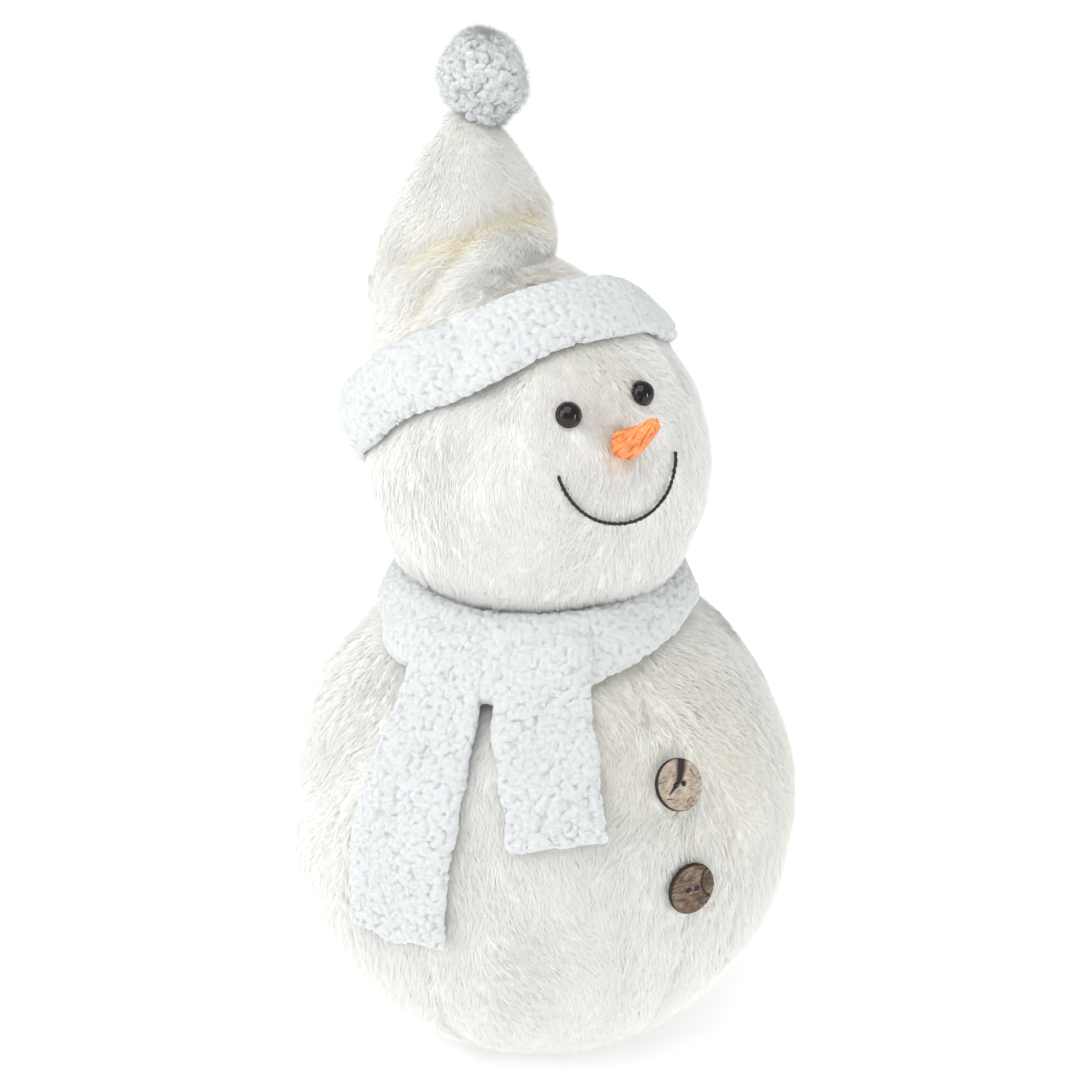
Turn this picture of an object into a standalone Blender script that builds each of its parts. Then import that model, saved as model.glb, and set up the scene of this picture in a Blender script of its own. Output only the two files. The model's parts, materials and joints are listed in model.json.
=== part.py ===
"""Plush snowman with a bobble hat and a scarf, built from its sewn and stuffed pieces.

Metres, +Z up, the snowman faces -Y. The origin is the centre of the flat base it stands on.
Two fur-fabric balls, each sewn from gores and stuffed, meet at a neck seam. The head carries
the safety eyes, a pegged carrot nose, a stitched mouth and the hat; a scarf hangs from the neck.
"""
import math

import bmesh
import bpy
import numpy as np
from mathutils import Matrix, Vector

GAP = 0.0003                # clearance between neighbouring pieces
MERGE = 0.00002             # merge distance for turned shapes

# Driving dimensions of the two stuffed balls
BODY_CENTRE = Vector((0, 0, 0.110))
BODY_R = 0.1155             # outside of the fur fabric
BODY_FILL_R = 0.1080
HEAD_CENTRE = Vector((0, 0.0003, 0.2846))
HEAD_R = 0.0735
HEAD_FILL_R = 0.0668
NECK_Z = 0.2200             # height of the seam where the balls meet
BODY_PILE = 0.006           # thickness of the body's fur fabric
HEAD_PILE = 0.005
CHEEK_SWELL = 0.0070
CHEEK_POLAR, CHEEK_SPAN = 131.0, 14.0
SEAM_GAP_DEG = 0.4          # angle left open between neighbouring gores

# The head is sewn on with a small turn and lean, which its face and hat share
HEAD_TURN = math.radians(-4.3)
HEAD_LEAN = math.radians(-3.7)

# Face, in degrees round and above the head's centre
EYE_ROUND, EYE_UP = 16.4, 28.2
EYE_R = 0.0060
POST_R = 0.0016
NOSE_UP = 14.7
NOSE_LENGTH = 0.037
PEG_R = 0.0025
MOUTH_CENTRE_Z = 0.014      # the mouth is an arc about a point just under the nose
MOUTH_R = 0.030
MOUTH_THREAD_R = 0.0008

# Buttons down the front seam
BUTTON_R = 0.0114
BUTTON_THICK = 0.0030
BUTTON_UP = {"upper": 24.5, "lower": 1.9}
THREAD_HOLE_R = 0.0012
THREAD_HOLE_HALF_PITCH = 0.0021
THREAD_R = 0.0006

# Weighted base
BASE_PATCH_R, BASE_PATCH_THICK = 0.0360, 0.0012
BASE_BOARD_R, BASE_BOARD_THICK = 0.0340, 0.0030
BAG_Z0, BAG_Z1, BAG_R = 0.0050, 0.0380, 0.0455

# Hat: a cuff tilted back round the head, and a cone that rises from it to the pompom
HAT_TILT = math.radians(33)
CUFF_PROFILE = [            # radius, along the axis, least height over the head
    (0.0580, 0.0465, 0.0006), (0.0650, 0.0490, 0.0040), (0.0715, 0.0470, 0.0070), (0.0770, 0.0415, 0.0075),
    (0.0810, 0.0330, 0.0065), (0.0815, 0.0240, 0.0050), (0.0800, 0.0185, 0.0035), (0.0780, 0.0160, 0.0020),
    (0.0762, 0.0165, 0.0006), (0.0730, 0.0240, 0.0006), (0.0695, 0.0330, 0.0006), (0.0655, 0.0400, 0.0006),
    (0.0620, 0.0440, 0.0006)]
CUFF_TAKE_IN = 0.0080       # the cuff is tighter than its profile, and sits off centre
CUFF_SHIFT = (-0.0052, 0.0039)
CUFF_LEAN, CUFF_MORE_TILT, CUFF_LIFT = math.radians(-2.2), math.radians(1.4), 0.0041
CONE_WALL = 0.0030
CONE_STATIONS = np.array([  # x, y, height above the head's centre, radius, degrees tilted back
    (-0.0020, 0.0275, 0.0424, 0.0610, 33), (-0.0035, 0.0343, 0.0529, 0.0525, 31),
    (-0.0080, 0.0410, 0.0630, 0.0450, 24), (-0.0090, 0.0445, 0.0740, 0.0425, 14),
    (-0.0070, 0.0460, 0.0860, 0.0410, 6), (-0.0035, 0.0470, 0.0980, 0.0370, 0),
    (-0.0030, 0.0470, 0.1100, 0.0300, 0), (-0.0030, 0.0460, 0.1210, 0.0230, -2),
    (-0.0010, 0.0455, 0.1300, 0.0160, -3)])
CONE_SIDES = 24
CROWN_BOTTOM, CROWN_TOP, FOLD_AT, TIP_BOTTOM, TIP_TOP = 0.0475, 0.0770, 0.0900, 0.1030, 0.1300
CROWN_LEVELS = np.linspace(CROWN_BOTTOM, CROWN_TOP, 8)
HAT_FILL_LEVELS = CROWN_LEVELS[2:6]     # the stuffing stops short of the fold, so the tip can nod
POMPOM_CENTRE = Vector((0.0045, 0.0444, 0.1534))
POMPOM_R = 0.0193
POMPOM_PIVOT = Vector((0.0000, 0.0455, 0.1315))
TIE_HOLE_R = 0.0045

# Scarf: a folded band lying in the neck crease, and two ends that hang over the chest
WRAP_PROFILE = [(0.0480, 0.1105), (0.0530, 0.1125), (0.0590, 0.1145), (0.0660, 0.1145), (0.0730, 0.1095),
                (0.0790, 0.1020), (0.0820, 0.0945), (0.0790, 0.0900), (0.0700, 0.0955), (0.0600, 0.1010),
                (0.0510, 0.1055), (0.0470, 0.1080)]                          # radius, height over body centre
WRAP_FULL_ROUND, WRAP_FULL_SPAN = -50.0, 60.0   # where the band is widest, and how soon it narrows
WRAP_NARROW, WRAP_WIDE = 0.60, 1.03
CROSSING_PROFILE = [(0.0600, 0.1158), (0.0668, 0.1156), (0.0742, 0.1104), (0.0806, 0.1025), (0.0836, 0.0955)]
CROSSING_ROUND, CROSSING_SPAN = -32.0, 29.0
SCARF_THICK = 0.0060
SCARF_R = 0.1165            # inside of the hanging ends, just clear of the fur
# start and end of each hanging end: degrees round the body, degrees above its centre, half width
TAILS = {
    "long": {"round": (-62.5, -65.2), "up": (46.5, -9.0), "half": (0.0185, 0.0240), "rows": 11},
    "short": {"round": (-33.0, -30.0), "up": (46.5, 15.0), "half": (0.0205, 0.0215), "rows": 7},
}


def clear_scene():
    for obj in list(bpy.data.objects):
        bpy.data.objects.remove(obj, do_unlink=True)


def new_collection(name):
    collection = bpy.data.collections.new(name)
    bpy.context.scene.collection.children.link(collection)
    return collection


clear_scene()
SNOWMAN = new_collection("plush_snowman")
CUTTERS = new_collection("cutters")


# ---------------------------------------------------------------- small helpers

def material(name, colour, roughness):
    """A plain Principled material, shared by every piece of the same stuff."""
    mat = bpy.data.materials.get(name)
    if mat is None:
        mat = bpy.data.materials.new(name)
        mat.use_nodes = True
        shader = mat.node_tree.nodes["Principled BSDF"]
        shader.inputs["Base Color"].default_value = (*colour, 1)
        shader.inputs["Roughness"].default_value = roughness
        shader.inputs["Metallic"].default_value = 0
    return mat


FUR = material("cream_fur", (0.90, 0.89, 0.83), 0.9)
HAT_FUR = material("hat_fur", (0.91, 0.89, 0.80), 0.9)
SHERPA = material("white_sherpa", (0.90, 0.93, 0.94), 0.95)
FIBRE = material("polyester_fibre", (0.93, 0.93, 0.93), 1.0)
FELT = material("base_felt", (0.86, 0.85, 0.80), 0.9)
BOARD = material("grey_board", (0.45, 0.43, 0.40), 0.8)
POUCH = material("pellet_pouch", (0.75, 0.73, 0.68), 0.9)
WHITE_THREAD = material("white_thread", (0.88, 0.88, 0.85), 0.7)
BLACK_THREAD = material("black_thread", (0.02, 0.02, 0.02), 0.7)
NAVY_THREAD = material("navy_thread", (0.03, 0.03, 0.10), 0.7)
EYE_BLACK = material("eye_black", (0.01, 0.006, 0.005), 0.08)
WASHER = material("white_plastic", (0.85, 0.85, 0.85), 0.5)
CARROT = material("carrot_orange", (0.90, 0.36, 0.10), 0.6)
PEG = material("peg_wood", (0.70, 0.55, 0.38), 0.7)
SHELL_GREY = material("coconut_grey", (0.38, 0.30, 0.23), 0.6)
SHELL_BROWN = material("coconut_brown", (0.24, 0.16, 0.10), 0.55)


def add_object(name, mesh, mat, collection=SNOWMAN):
    obj = bpy.data.objects.new(name, mesh)
    mesh.materials.append(mat)
    mesh.shade_smooth()
    mesh.set_sharp_from_angle(angle=math.radians(40))
    collection.objects.link(obj)
    return obj


def object_from_bmesh(name, bm, mat, collection=SNOWMAN):
    mesh = bpy.data.meshes.new(name)
    bm.to_mesh(mesh)
    bm.free()
    return add_object(name, mesh, mat, collection)


def make_cutter(obj):
    obj.hide_render = True
    obj.display_type = "WIRE"
    return obj


def cut(obj, *cutters):
    for cutter in cutters:
        modifier = obj.modifiers.new("cut_" + cutter.name, "BOOLEAN")
        modifier.operation = "DIFFERENCE"
        modifier.solver = "EXACT"
        modifier.object = cutter


def turned(name, profile, mat, steps, closed=False, sweep=360.0, collection=SNOWMAN):
    """A profile of (radius, height) points, listed down its outer side, turned about Z."""
    bm = bmesh.new()
    verts = [bm.verts.new((r, 0, z)) for r, z in profile]
    for a, b in zip(verts, verts[1:]):
        bm.edges.new((a, b))
    if closed:
        bm.edges.new((verts[-1], verts[0]))
    obj = object_from_bmesh(name, bm, mat, collection)
    screw = obj.modifiers.new("turn", "SCREW")
    screw.axis = "Z"
    screw.angle = math.radians(sweep)
    screw.steps = screw.render_steps = steps
    screw.use_merge_vertices = sweep == 360.0
    screw.merge_threshold = MERGE
    screw.use_smooth_shade = True
    return obj


def bent_ring(name, profile, mat, steps, bend):
    """A closed profile of (radius, height, ...) points carried round Z, each point placed by bend."""
    bm = bmesh.new()
    rings = []
    for i in range(steps):
        a = 2 * math.pi * i / steps
        rings.append([bm.verts.new(bend(a, *point)) for point in profile])
    for ring, after in zip(rings, rings[1:] + rings[:1]):
        for j in range(len(profile)):
            k = (j + 1) % len(profile)
            bm.faces.new((ring[j], ring[k], after[k], after[j]))
    return object_from_bmesh(name, bm, mat)


def solidify(obj, thickness, offset=1.0):
    modifier = obj.modifiers.new("thickness", "SOLIDIFY")
    modifier.thickness = thickness
    modifier.offset = offset
    modifier.use_even_offset = True
    return obj


def disc(name, radius, z0, z1, mat, steps, collection=SNOWMAN):
    profile = [(0, z1), (radius, z1), (radius, z0), (0, z0)]
    return turned(name, profile, mat, steps, collection=collection)


def tube_mesh(name, points, radii, sides, caps):
    """Mesh of a round tube through points, with its own radius at each one."""
    curve = bpy.data.curves.new(name, "CURVE")
    curve.dimensions = "3D"
    spline = curve.splines.new("POLY")
    spline.points.add(len(points) - 1)
    for point, place, radius in zip(spline.points, points, radii):
        point.co = (*place, 1)
        point.radius = radius
    curve.bevel_depth = 1.0
    curve.bevel_resolution = sides
    curve.use_fill_caps = caps
    guide = bpy.data.objects.new(name + "_guide", curve)
    bpy.context.scene.collection.objects.link(guide)
    evaluated = guide.evaluated_get(bpy.context.evaluated_depsgraph_get())
    mesh = bpy.data.meshes.new_from_object(evaluated)
    bpy.data.objects.remove(guide, do_unlink=True)
    bm = bmesh.new()
    bm.from_mesh(mesh)
    bmesh.ops.remove_doubles(bm, verts=bm.verts, dist=MERGE)
    bm.to_mesh(mesh)
    bm.free()
    mesh.materials.clear()
    return mesh


def direction(round_deg, up_deg):
    """Unit vector at an angle round from the front (-Y), towards +X, and up."""
    a, e = math.radians(round_deg), math.radians(up_deg)
    return Vector((math.cos(e) * math.sin(a), -math.cos(e) * math.cos(a), math.sin(e)))


def empty_at(name, location, parent=None, rotation=(0, 0, 0)):
    empty = bpy.data.objects.new(name, None)
    empty.empty_display_size = 0.02
    empty.location = location
    empty.rotation_euler = rotation
    empty.parent = parent
    SNOWMAN.objects.link(empty)
    return empty


def place(obj, parent, location=(0, 0, 0), rotation=None):
    obj.parent = parent
    obj.location = location
    if rotation is not None:
        obj.rotation_mode = "QUATERNION"
        obj.rotation_quaternion = rotation
    return obj


def stand_on_ball(obj, parent, out, distance):
    """Place obj at a distance from the ball's centre with its own Z pointing outwards."""
    return place(obj, parent, out * distance, out.to_track_quat("Z", "Y"))


# ---------------------------------------------------------------- joint axes and frames

BODY_FRAME = empty_at("body_frame", BODY_CENTRE)
NECK = empty_at("head_turn_axis", (0, HEAD_CENTRE.y, NECK_Z))
FACE = empty_at("face_frame", HEAD_CENTRE - NECK.location, NECK, (0, HEAD_LEAN, HEAD_TURN))
CONE_X = np.interp(FOLD_AT, CONE_STATIONS[:, 2], CONE_STATIONS[:, 0])
CONE_Y = np.interp(FOLD_AT, CONE_STATIONS[:, 2], CONE_STATIONS[:, 1])
TIP_AXIS = empty_at("hat_tip_axis", (CONE_X, CONE_Y, FOLD_AT), FACE)
POMPOM_AXIS = empty_at("pompom_axis", POMPOM_PIVOT - TIP_AXIS.location, TIP_AXIS)


# ---------------------------------------------------------------- fur-fabric balls

def cheek_swell(polar):
    """How far the head stands out of its ball at an angle from its top, nothing at its neck."""
    degrees = math.degrees(polar)
    fade = min(1, max(0, (145 - degrees) / 10))
    return CHEEK_SWELL * fade * math.exp(-((degrees - CHEEK_POLAR) / CHEEK_SPAN) ** 2)


def ball_gores(names, parent, ball_r, pile, ends, steps, rows, start_deg, swell=lambda polar: 0.0):
    """The gores of a ball: open meridian strips, thickened outwards to the pile's height."""
    sweep = 360.0 / len(names)
    top, bottom = ends
    inside = ball_r - pile
    profile = []
    for i in range(rows + 1):
        polar = top + (bottom - top) * i / rows
        r = inside + swell(polar)
        profile.append((r * math.sin(polar), r * math.cos(polar)))
    gores = []
    for i, name in enumerate(names):
        gore = turned(name, profile, FUR, steps, sweep=sweep - SEAM_GAP_DEG)
        solidify(gore, pile)
        place(gore, parent)
        gore.rotation_euler.z = math.radians(start_deg + i * sweep + SEAM_GAP_DEG / 2)
        gores.append(gore)
    return gores


def body_shell():
    neck = math.acos((NECK_Z - BODY_CENTRE.z - 2 * GAP) / BODY_R)
    foot = math.pi - math.acos((BODY_CENTRE.z - GAP) / BODY_R)
    names = ["body_panel_%d" % (i + 1) for i in range(6)]
    ball_gores(names, BODY_FRAME, BODY_R, BODY_PILE, (neck, foot), 6, 12, -90)


def weight_bag():
    waist = BAG_Z0 + 0.013
    shoulder = BAG_Z1 - 0.007
    outline = [(0, BAG_Z1), (0.040, BAG_Z1 - 0.001), (BAG_R, shoulder), (BAG_R, waist),
               (0.040, BAG_Z0 + 0.0045), (0.028, BAG_Z0), (0, BAG_Z0)]
    turned("weight_bag", outline, POUCH, 28)
    room = 0.0008
    pocket = [(0, BAG_Z1 + room), (0.040 + room, BAG_Z1 - 0.001 + room), (BAG_R + room, shoulder + room / 2),
              (BAG_R + room, -0.02), (0, -0.02)]
    return make_cutter(turned("weight_bag_pocket", pocket, POUCH, 28, collection=CUTTERS))


def body_inside():
    bm = bmesh.new()
    bmesh.ops.create_uvsphere(bm, u_segments=24, v_segments=14, radius=BODY_FILL_R)
    fill = place(object_from_bmesh("body_fill", bm, FIBRE), BODY_FRAME)
    cut(fill, weight_bag())
    disc("base_patch", BASE_PATCH_R, 0, BASE_PATCH_THICK, FELT, 28)
    board_z = BASE_PATCH_THICK + GAP
    disc("base_board", BASE_BOARD_R, board_z, board_z + BASE_BOARD_THICK, BOARD, 28)


def neck_stitching():
    """A ring of thread that draws the two fabric edges together."""
    ring_r, thread_r, sides = 0.0338, 0.0012, 6
    profile = []
    for i in range(sides):
        a = 2 * math.pi * i / sides
        profile.append((ring_r + thread_r * math.sin(a), thread_r * math.cos(a)))
    place(turned("neck_stitching", profile, WHITE_THREAD, 24, closed=True), None, (0, 0, NECK_Z - GAP))


def head_shell():
    neck = math.pi - math.acos((HEAD_CENTRE.z - NECK_Z - 2 * GAP) / HEAD_R)
    crown = math.radians(4)
    names = ["head_panel_front", "head_panel_left", "head_panel_back", "head_panel_right"]
    lift = HEAD_CENTRE - NECK.location
    gores = ball_gores(names, NECK, HEAD_R, HEAD_PILE, (crown, neck), 7, 14, -135, cheek_swell)
    for gore in gores:
        gore.location = lift
        gore.rotation_euler.z += HEAD_TURN
    return gores[0]


def head_inside():
    bm = bmesh.new()
    bmesh.ops.create_uvsphere(bm, u_segments=20, v_segments=12, radius=HEAD_FILL_R)
    fill = place(object_from_bmesh("head_fill", bm, FIBRE), NECK, HEAD_CENTRE - NECK.location)
    chin = disc("head_fill_foot", 0.05, -0.09, -0.0653, FIBRE, 24, CUTTERS)
    cut(fill, make_cutter(place(chin, NECK, HEAD_CENTRE - NECK.location)))
    return fill


# ---------------------------------------------------------------- face

def washer(name, radius, hole_r, thick, steps):
    profile = [(hole_r, thick), (radius, thick), (radius, 0), (hole_r, 0)]
    return turned(name, profile, WASHER, steps, closed=True)


def pegged(out, peg_r, washer_r, washer_thick, reach, panel, fill, name):
    """Cut the hole in the fabric and the room in the stuffing for a peg and its washer."""
    hole = disc(name + "_hole", peg_r + 0.0006, -0.012, 0.004, WASHER, 16, CUTTERS)
    cut(panel, make_cutter(stand_on_ball(hole, FACE, out, HEAD_R)))
    top = HEAD_FILL_R + 0.002
    seat = HEAD_FILL_R - 0.0006 - washer_thick
    room = [(0, top), (washer_r + 0.0006, top), (washer_r + 0.0006, seat - GAP), (peg_r + 0.0006, seat - GAP),
            (peg_r + 0.0006, HEAD_R - reach - 0.001), (0, HEAD_R - reach - 0.001)]
    pocket = turned(name + "_pocket", room, WASHER, 20, collection=CUTTERS)
    cut(fill, make_cutter(stand_on_ball(pocket, FACE, out, 0)))
    ring = washer(name + "_washer", washer_r, peg_r + 0.0004, washer_thick, 20)
    return stand_on_ball(ring, FACE, out, seat)


def eye(side, sign, panel, fill):
    """A safety eye: a glossy dome on a post that goes through the fabric into its washer."""
    out = direction(sign * EYE_ROUND, EYE_UP)
    dome = []
    for i in range(6):
        a = math.radians(90 - 18 * i)
        dome.append((EYE_R * math.cos(a), 0.0008 + 0.0047 * math.sin(a)))
    length = 0.012
    profile = dome + [(EYE_R, 0), (POST_R, 0), (POST_R, -length), (0, -length)]
    stand_on_ball(turned("eye_" + side, profile, EYE_BLACK, 16), FACE, out, HEAD_R + GAP)
    pegged(out, POST_R, 0.0075, 0.0018, length, panel, fill, "eye_" + side)


def nose(panel, fill):
    """A carrot that curves upwards, on a dowel pushed through the fabric into its washer."""
    out = direction(0, NOSE_UP)
    up = Vector((0, 0, 1))
    start = out * (HEAD_R + GAP)
    widths = [0.0061, 0.0065, 0.0064, 0.0059, 0.0053, 0.0046, 0.0039, 0.0031, 0.0022]
    points = []
    for i in range(len(widths)):
        t = i / (len(widths) - 1)
        points.append(start + out * (0.89 * NOSE_LENGTH * t) + up * (0.29 * NOSE_LENGTH * t ** 1.6))
    carrot = add_object("nose", tube_mesh("nose", points, widths, 5, True), CARROT)
    place(carrot, FACE)
    peg_in, peg_out = 0.014, 0.009
    socket = disc("nose_socket", PEG_R + GAP, -0.004, peg_out + 0.001, PEG, 16, CUTTERS)
    cut(carrot, make_cutter(stand_on_ball(socket, FACE, out, HEAD_R)))
    dowel = disc("nose_peg", PEG_R, -peg_in, peg_out, PEG, 16)
    stand_on_ball(dowel, FACE, out, HEAD_R)
    pegged(out, PEG_R, 0.0085, 0.0020, peg_in, panel, fill, "nose")


def mouth():
    """One stitched line: an arc about a point under the nose, laid on the head's ball."""
    surface = HEAD_R + GAP + MOUTH_THREAD_R
    points = []
    for i in range(19):
        a = math.radians(188.5 + 158.0 * i / 18)
        x, z = MOUTH_R * math.cos(a), MOUTH_CENTRE_Z + MOUTH_R * math.sin(a)
        points.append(Vector((x, -math.sqrt(surface ** 2 - x * x - z * z), z)))
    mesh = tube_mesh("mouth_thread", points, [MOUTH_THREAD_R] * len(points), 1, True)
    place(add_object("mouth_thread", mesh, BLACK_THREAD), FACE)


# ---------------------------------------------------------------- buttons

def button(which, mat):
    """A flat coconut-shell button with two thread holes, sewn on the front seam."""
    out = direction(0, BUTTON_UP[which])
    half = BUTTON_THICK / 2
    soften = 0.0005
    profile = [(0, half), (BUTTON_R - soften, half), (BUTTON_R, half - soften), (BUTTON_R, soften - half),
               (BUTTON_R - soften, -half), (0, -half)]
    seat = BODY_R + 2 * GAP + half
    plate = stand_on_ball(turned("button_" + which, profile, mat, 28), BODY_FRAME, out, seat)
    lean = out.to_track_quat("Z", "Y")
    for side in (-1, 1):
        drill = disc("button_%s_hole_%d" % (which, side), THREAD_HOLE_R, -0.004, 0.004, mat, 12, CUTTERS)
        offset = lean @ Vector((side * THREAD_HOLE_HALF_PITCH, 0, 0))
        cut(plate, make_cutter(place(drill, BODY_FRAME, out * seat + offset, lean)))
    pitch, rise = THREAD_HOLE_HALF_PITCH, half + THREAD_R + GAP
    route = [(-pitch, 0, -half), (-pitch, 0, rise * 0.9), (-pitch * 0.6, 0, rise), (pitch * 0.6, 0, rise),
             (pitch, 0, rise * 0.9), (pitch, 0, -half)]
    mesh = tube_mesh("button_thread", [Vector(p) for p in route], [THREAD_R] * len(route), 1, True)
    thread = add_object("button_thread_" + which, mesh, NAVY_THREAD)
    stand_on_ball(thread, BODY_FRAME, out, seat)


# ---------------------------------------------------------------- scarf

def wrap_point(a, r, z):
    """The band slides down the ball to be wide where its ends cross, and is narrow elsewhere."""
    round_deg = math.degrees(math.atan2(math.cos(a), -math.sin(a)))
    off = (round_deg - WRAP_FULL_ROUND + 180) % 360 - 180
    share = WRAP_NARROW + (WRAP_WIDE - WRAP_NARROW) * math.exp(-(off / WRAP_FULL_SPAN) ** 2)
    inner = math.atan2(*WRAP_PROFILE[0])
    polar = inner + (math.atan2(r, z) - inner) * share
    d = math.hypot(r, z)
    return Vector((d * math.sin(polar) * math.cos(a), d * math.sin(polar) * math.sin(a), d * math.cos(polar)))


def scarf_neck():
    """The band round the neck, and the stretch of the upper end that crosses over it."""
    place(bent_ring("scarf_wrap", WRAP_PROFILE, SHERPA, 36, wrap_point), BODY_FRAME)
    crossing = turned("scarf_crossing", CROSSING_PROFILE, SHERPA, 6, sweep=CROSSING_SPAN)
    solidify(crossing, SCARF_THICK)
    place(crossing, BODY_FRAME)
    crossing.rotation_euler.z = math.radians(CROSSING_ROUND - CROSSING_SPAN / 2 - 90)


def tail_point(spec, across, down):
    """Point on the inside of a hanging end: it follows the ball down to its widest level, then hangs."""
    up = math.radians(spec["up"][0] + (spec["up"][1] - spec["up"][0]) * down)
    round_mid = math.radians(spec["round"][0] + (spec["round"][1] - spec["round"][0]) * down)
    half = spec["half"][0] + (spec["half"][1] - spec["half"][0]) * min(1, 2 * down)
    level_r = SCARF_R * (math.cos(up) if up > 0 else 1)
    height = SCARF_R * (math.sin(up) if up > 0 else up)
    a = round_mid + across * half / level_r
    return Vector((level_r * math.sin(a), -level_r * math.cos(a), height))


def scarf_tail(which):
    """A hanging end with its hinge empty along its top outer edge."""
    spec = TAILS[which]
    middle_up, middle_round = math.radians(spec["up"][0]), spec["round"][0]
    pivot = direction(middle_round, spec["up"][0]) * (SCARF_R + SCARF_THICK)
    hinge = empty_at("scarf_tail_%s_axis" % which, BODY_CENTRE + pivot)
    bm = bmesh.new()
    bmesh.ops.create_grid(bm, x_segments=5, y_segments=spec["rows"], size=1.0)
    for vert in bm.verts:
        vert.co = tail_point(spec, vert.co.x, (1 - vert.co.y) / 2) - pivot
    bmesh.ops.recalc_face_normals(bm, faces=bm.faces)
    face = bm.faces[:][0]
    if face.normal.dot(face.calc_center_median() + pivot) < 0:
        bmesh.ops.reverse_faces(bm, faces=bm.faces)
    tail = object_from_bmesh("scarf_tail_" + which, bm, SHERPA)
    place(solidify(tail, SCARF_THICK), hinge)


# ---------------------------------------------------------------- hat

def cone_section(level):
    """Centre, radius and backward tilt of the hat's cone at a height above the head's centre."""
    x, y, radius, tilt = (np.interp(level, CONE_STATIONS[:, 2], CONE_STATIONS[:, i]) for i in (0, 1, 3, 4))
    return Vector((x, y, level)), radius, math.radians(tilt)


def cone_loft(name, levels, mat, inset=0.0, capped=False, closing=()):
    """A loft through rings of the cone, with extra (rise, radius) rings to draw in its top."""
    sections = [cone_section(level) for level in levels]
    sections = [(centre, radius - inset, tilt) for centre, radius, tilt in sections]
    for rise, radius in closing:
        sections.append((sections[-1][0] + Vector((0, 0, rise)), radius, sections[-1][2]))
    bm = bmesh.new()
    rings = []
    for centre, radius, tilt in sections:
        matrix = Matrix.Translation(centre) @ Matrix.Rotation(-tilt, 4, "X")
        rings.append(bmesh.ops.create_circle(bm, radius=radius, segments=CONE_SIDES, matrix=matrix)["verts"])
    for lower, upper in zip(rings, rings[1:]):
        for i in range(CONE_SIDES):
            j = (i + 1) % CONE_SIDES
            bm.faces.new((lower[i], lower[j], upper[j], upper[i]))
    if capped:
        bm.faces.new(rings[0])
        bm.faces.new(rings[-1])
    bmesh.ops.recalc_face_normals(bm, faces=bm.faces)
    outer = bm.faces[0]
    if outer.normal.dot(outer.calc_center_median() - sections[0][0]) < 0:
        bmesh.ops.reverse_faces(bm, faces=bm.faces)
    return object_from_bmesh(name, bm, mat)


def cuff_point(a, r, z, over):
    """The cuff hugs the head on one side and stands off it on the other."""
    x = (r - CUFF_TAKE_IN) * math.cos(a) + CUFF_SHIFT[0]
    y = (r - CUFF_TAKE_IN) * math.sin(a) + CUFF_SHIFT[1]
    least = math.sqrt((HEAD_R + over) ** 2 - z * z)
    grow = max(1, least / math.hypot(x, y))
    return Vector((x * grow, y * grow, z))


def hat_cuff():
    """The cuff leans a little more than the cone, and is pulled up along its own axis."""
    cuff = bent_ring("hat_cuff", CUFF_PROFILE, SHERPA, 36, cuff_point)
    place(cuff, FACE)
    turn = Matrix.Rotation(CUFF_LEAN, 3, "Y") @ Matrix.Rotation(-HAT_TILT - CUFF_MORE_TILT, 3, "X")
    cuff.rotation_euler = turn.to_euler()
    cuff.location = turn @ Vector((0, 0, CUFF_LIFT))


def hat_cone():
    """Fabric cone in three stretches: the crown, the soft fold, and the tip that nods over it."""
    place(solidify(cone_loft("hat_crown", CROWN_LEVELS, HAT_FUR), CONE_WALL, -1.0), FACE)
    levels = np.linspace(CROWN_TOP + GAP, TIP_BOTTOM - GAP, 5)
    place(solidify(cone_loft("hat_fold", levels, HAT_FUR), CONE_WALL, -1.0), FACE)
    levels = np.linspace(TIP_BOTTOM, TIP_TOP, 5)
    closing = ((0.0012, 0.0110), (0.0016, TIE_HOLE_R))
    tip = cone_loft("hat_tip", levels, HAT_FUR, closing=closing)
    place(solidify(tip, 0.0020, -1.0), TIP_AXIS, -TIP_AXIS.location)


def hat_stuffing():
    fill = place(cone_loft("hat_fill", HAT_FILL_LEVELS, FIBRE, 0.0060, True), FACE)
    bm = bmesh.new()
    bmesh.ops.create_uvsphere(bm, u_segments=24, v_segments=14, radius=HEAD_R + 0.003)
    cut(fill, make_cutter(place(object_from_bmesh("hat_head_room", bm, FIBRE, CUTTERS), FACE)))
    levels = np.linspace(TIP_BOTTOM + 0.001, TIP_TOP - 0.004, 4)
    upper = cone_loft("hat_tip_fill", levels, FIBRE, 0.0040, True)
    tip_fill = place(upper, TIP_AXIS, -TIP_AXIS.location)
    pocket = disc("pompom_tie_pocket", 0.007, POMPOM_PIVOT.z - 0.0105, POMPOM_PIVOT.z, FIBRE, 16, CUTTERS)
    axis = Vector((POMPOM_PIVOT.x, POMPOM_PIVOT.y, 0)) - TIP_AXIS.location
    cut(tip_fill, make_cutter(place(pocket, TIP_AXIS, axis)))


def pompom():
    """Sherpa ball on a knotted tie that hangs through the hole in the hat's tip."""
    centre = POMPOM_CENTRE - POMPOM_PIVOT
    bm = bmesh.new()
    bmesh.ops.create_uvsphere(bm, u_segments=18, v_segments=11, radius=POMPOM_R)
    ball = place(object_from_bmesh("pompom", bm, SHERPA), POMPOM_AXIS, centre)
    tie_r, knot_r, knot_z, top = 0.0012, 0.0030, -0.0055, 0.0085
    hole = disc("pompom_tie_hole", tie_r + GAP, -0.002, top + GAP, SHERPA, 12, CUTTERS)
    cut(ball, make_cutter(place(hole, POMPOM_AXIS)))
    profile = [(0, top), (tie_r, top), (tie_r, knot_z + 0.0028), (knot_r, knot_z + 0.001),
               (knot_r, knot_z - 0.001), (0.0015, knot_z - 0.003), (0, knot_z - 0.003)]
    place(turned("pompom_tie", profile, WHITE_THREAD, 12), POMPOM_AXIS)


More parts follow.
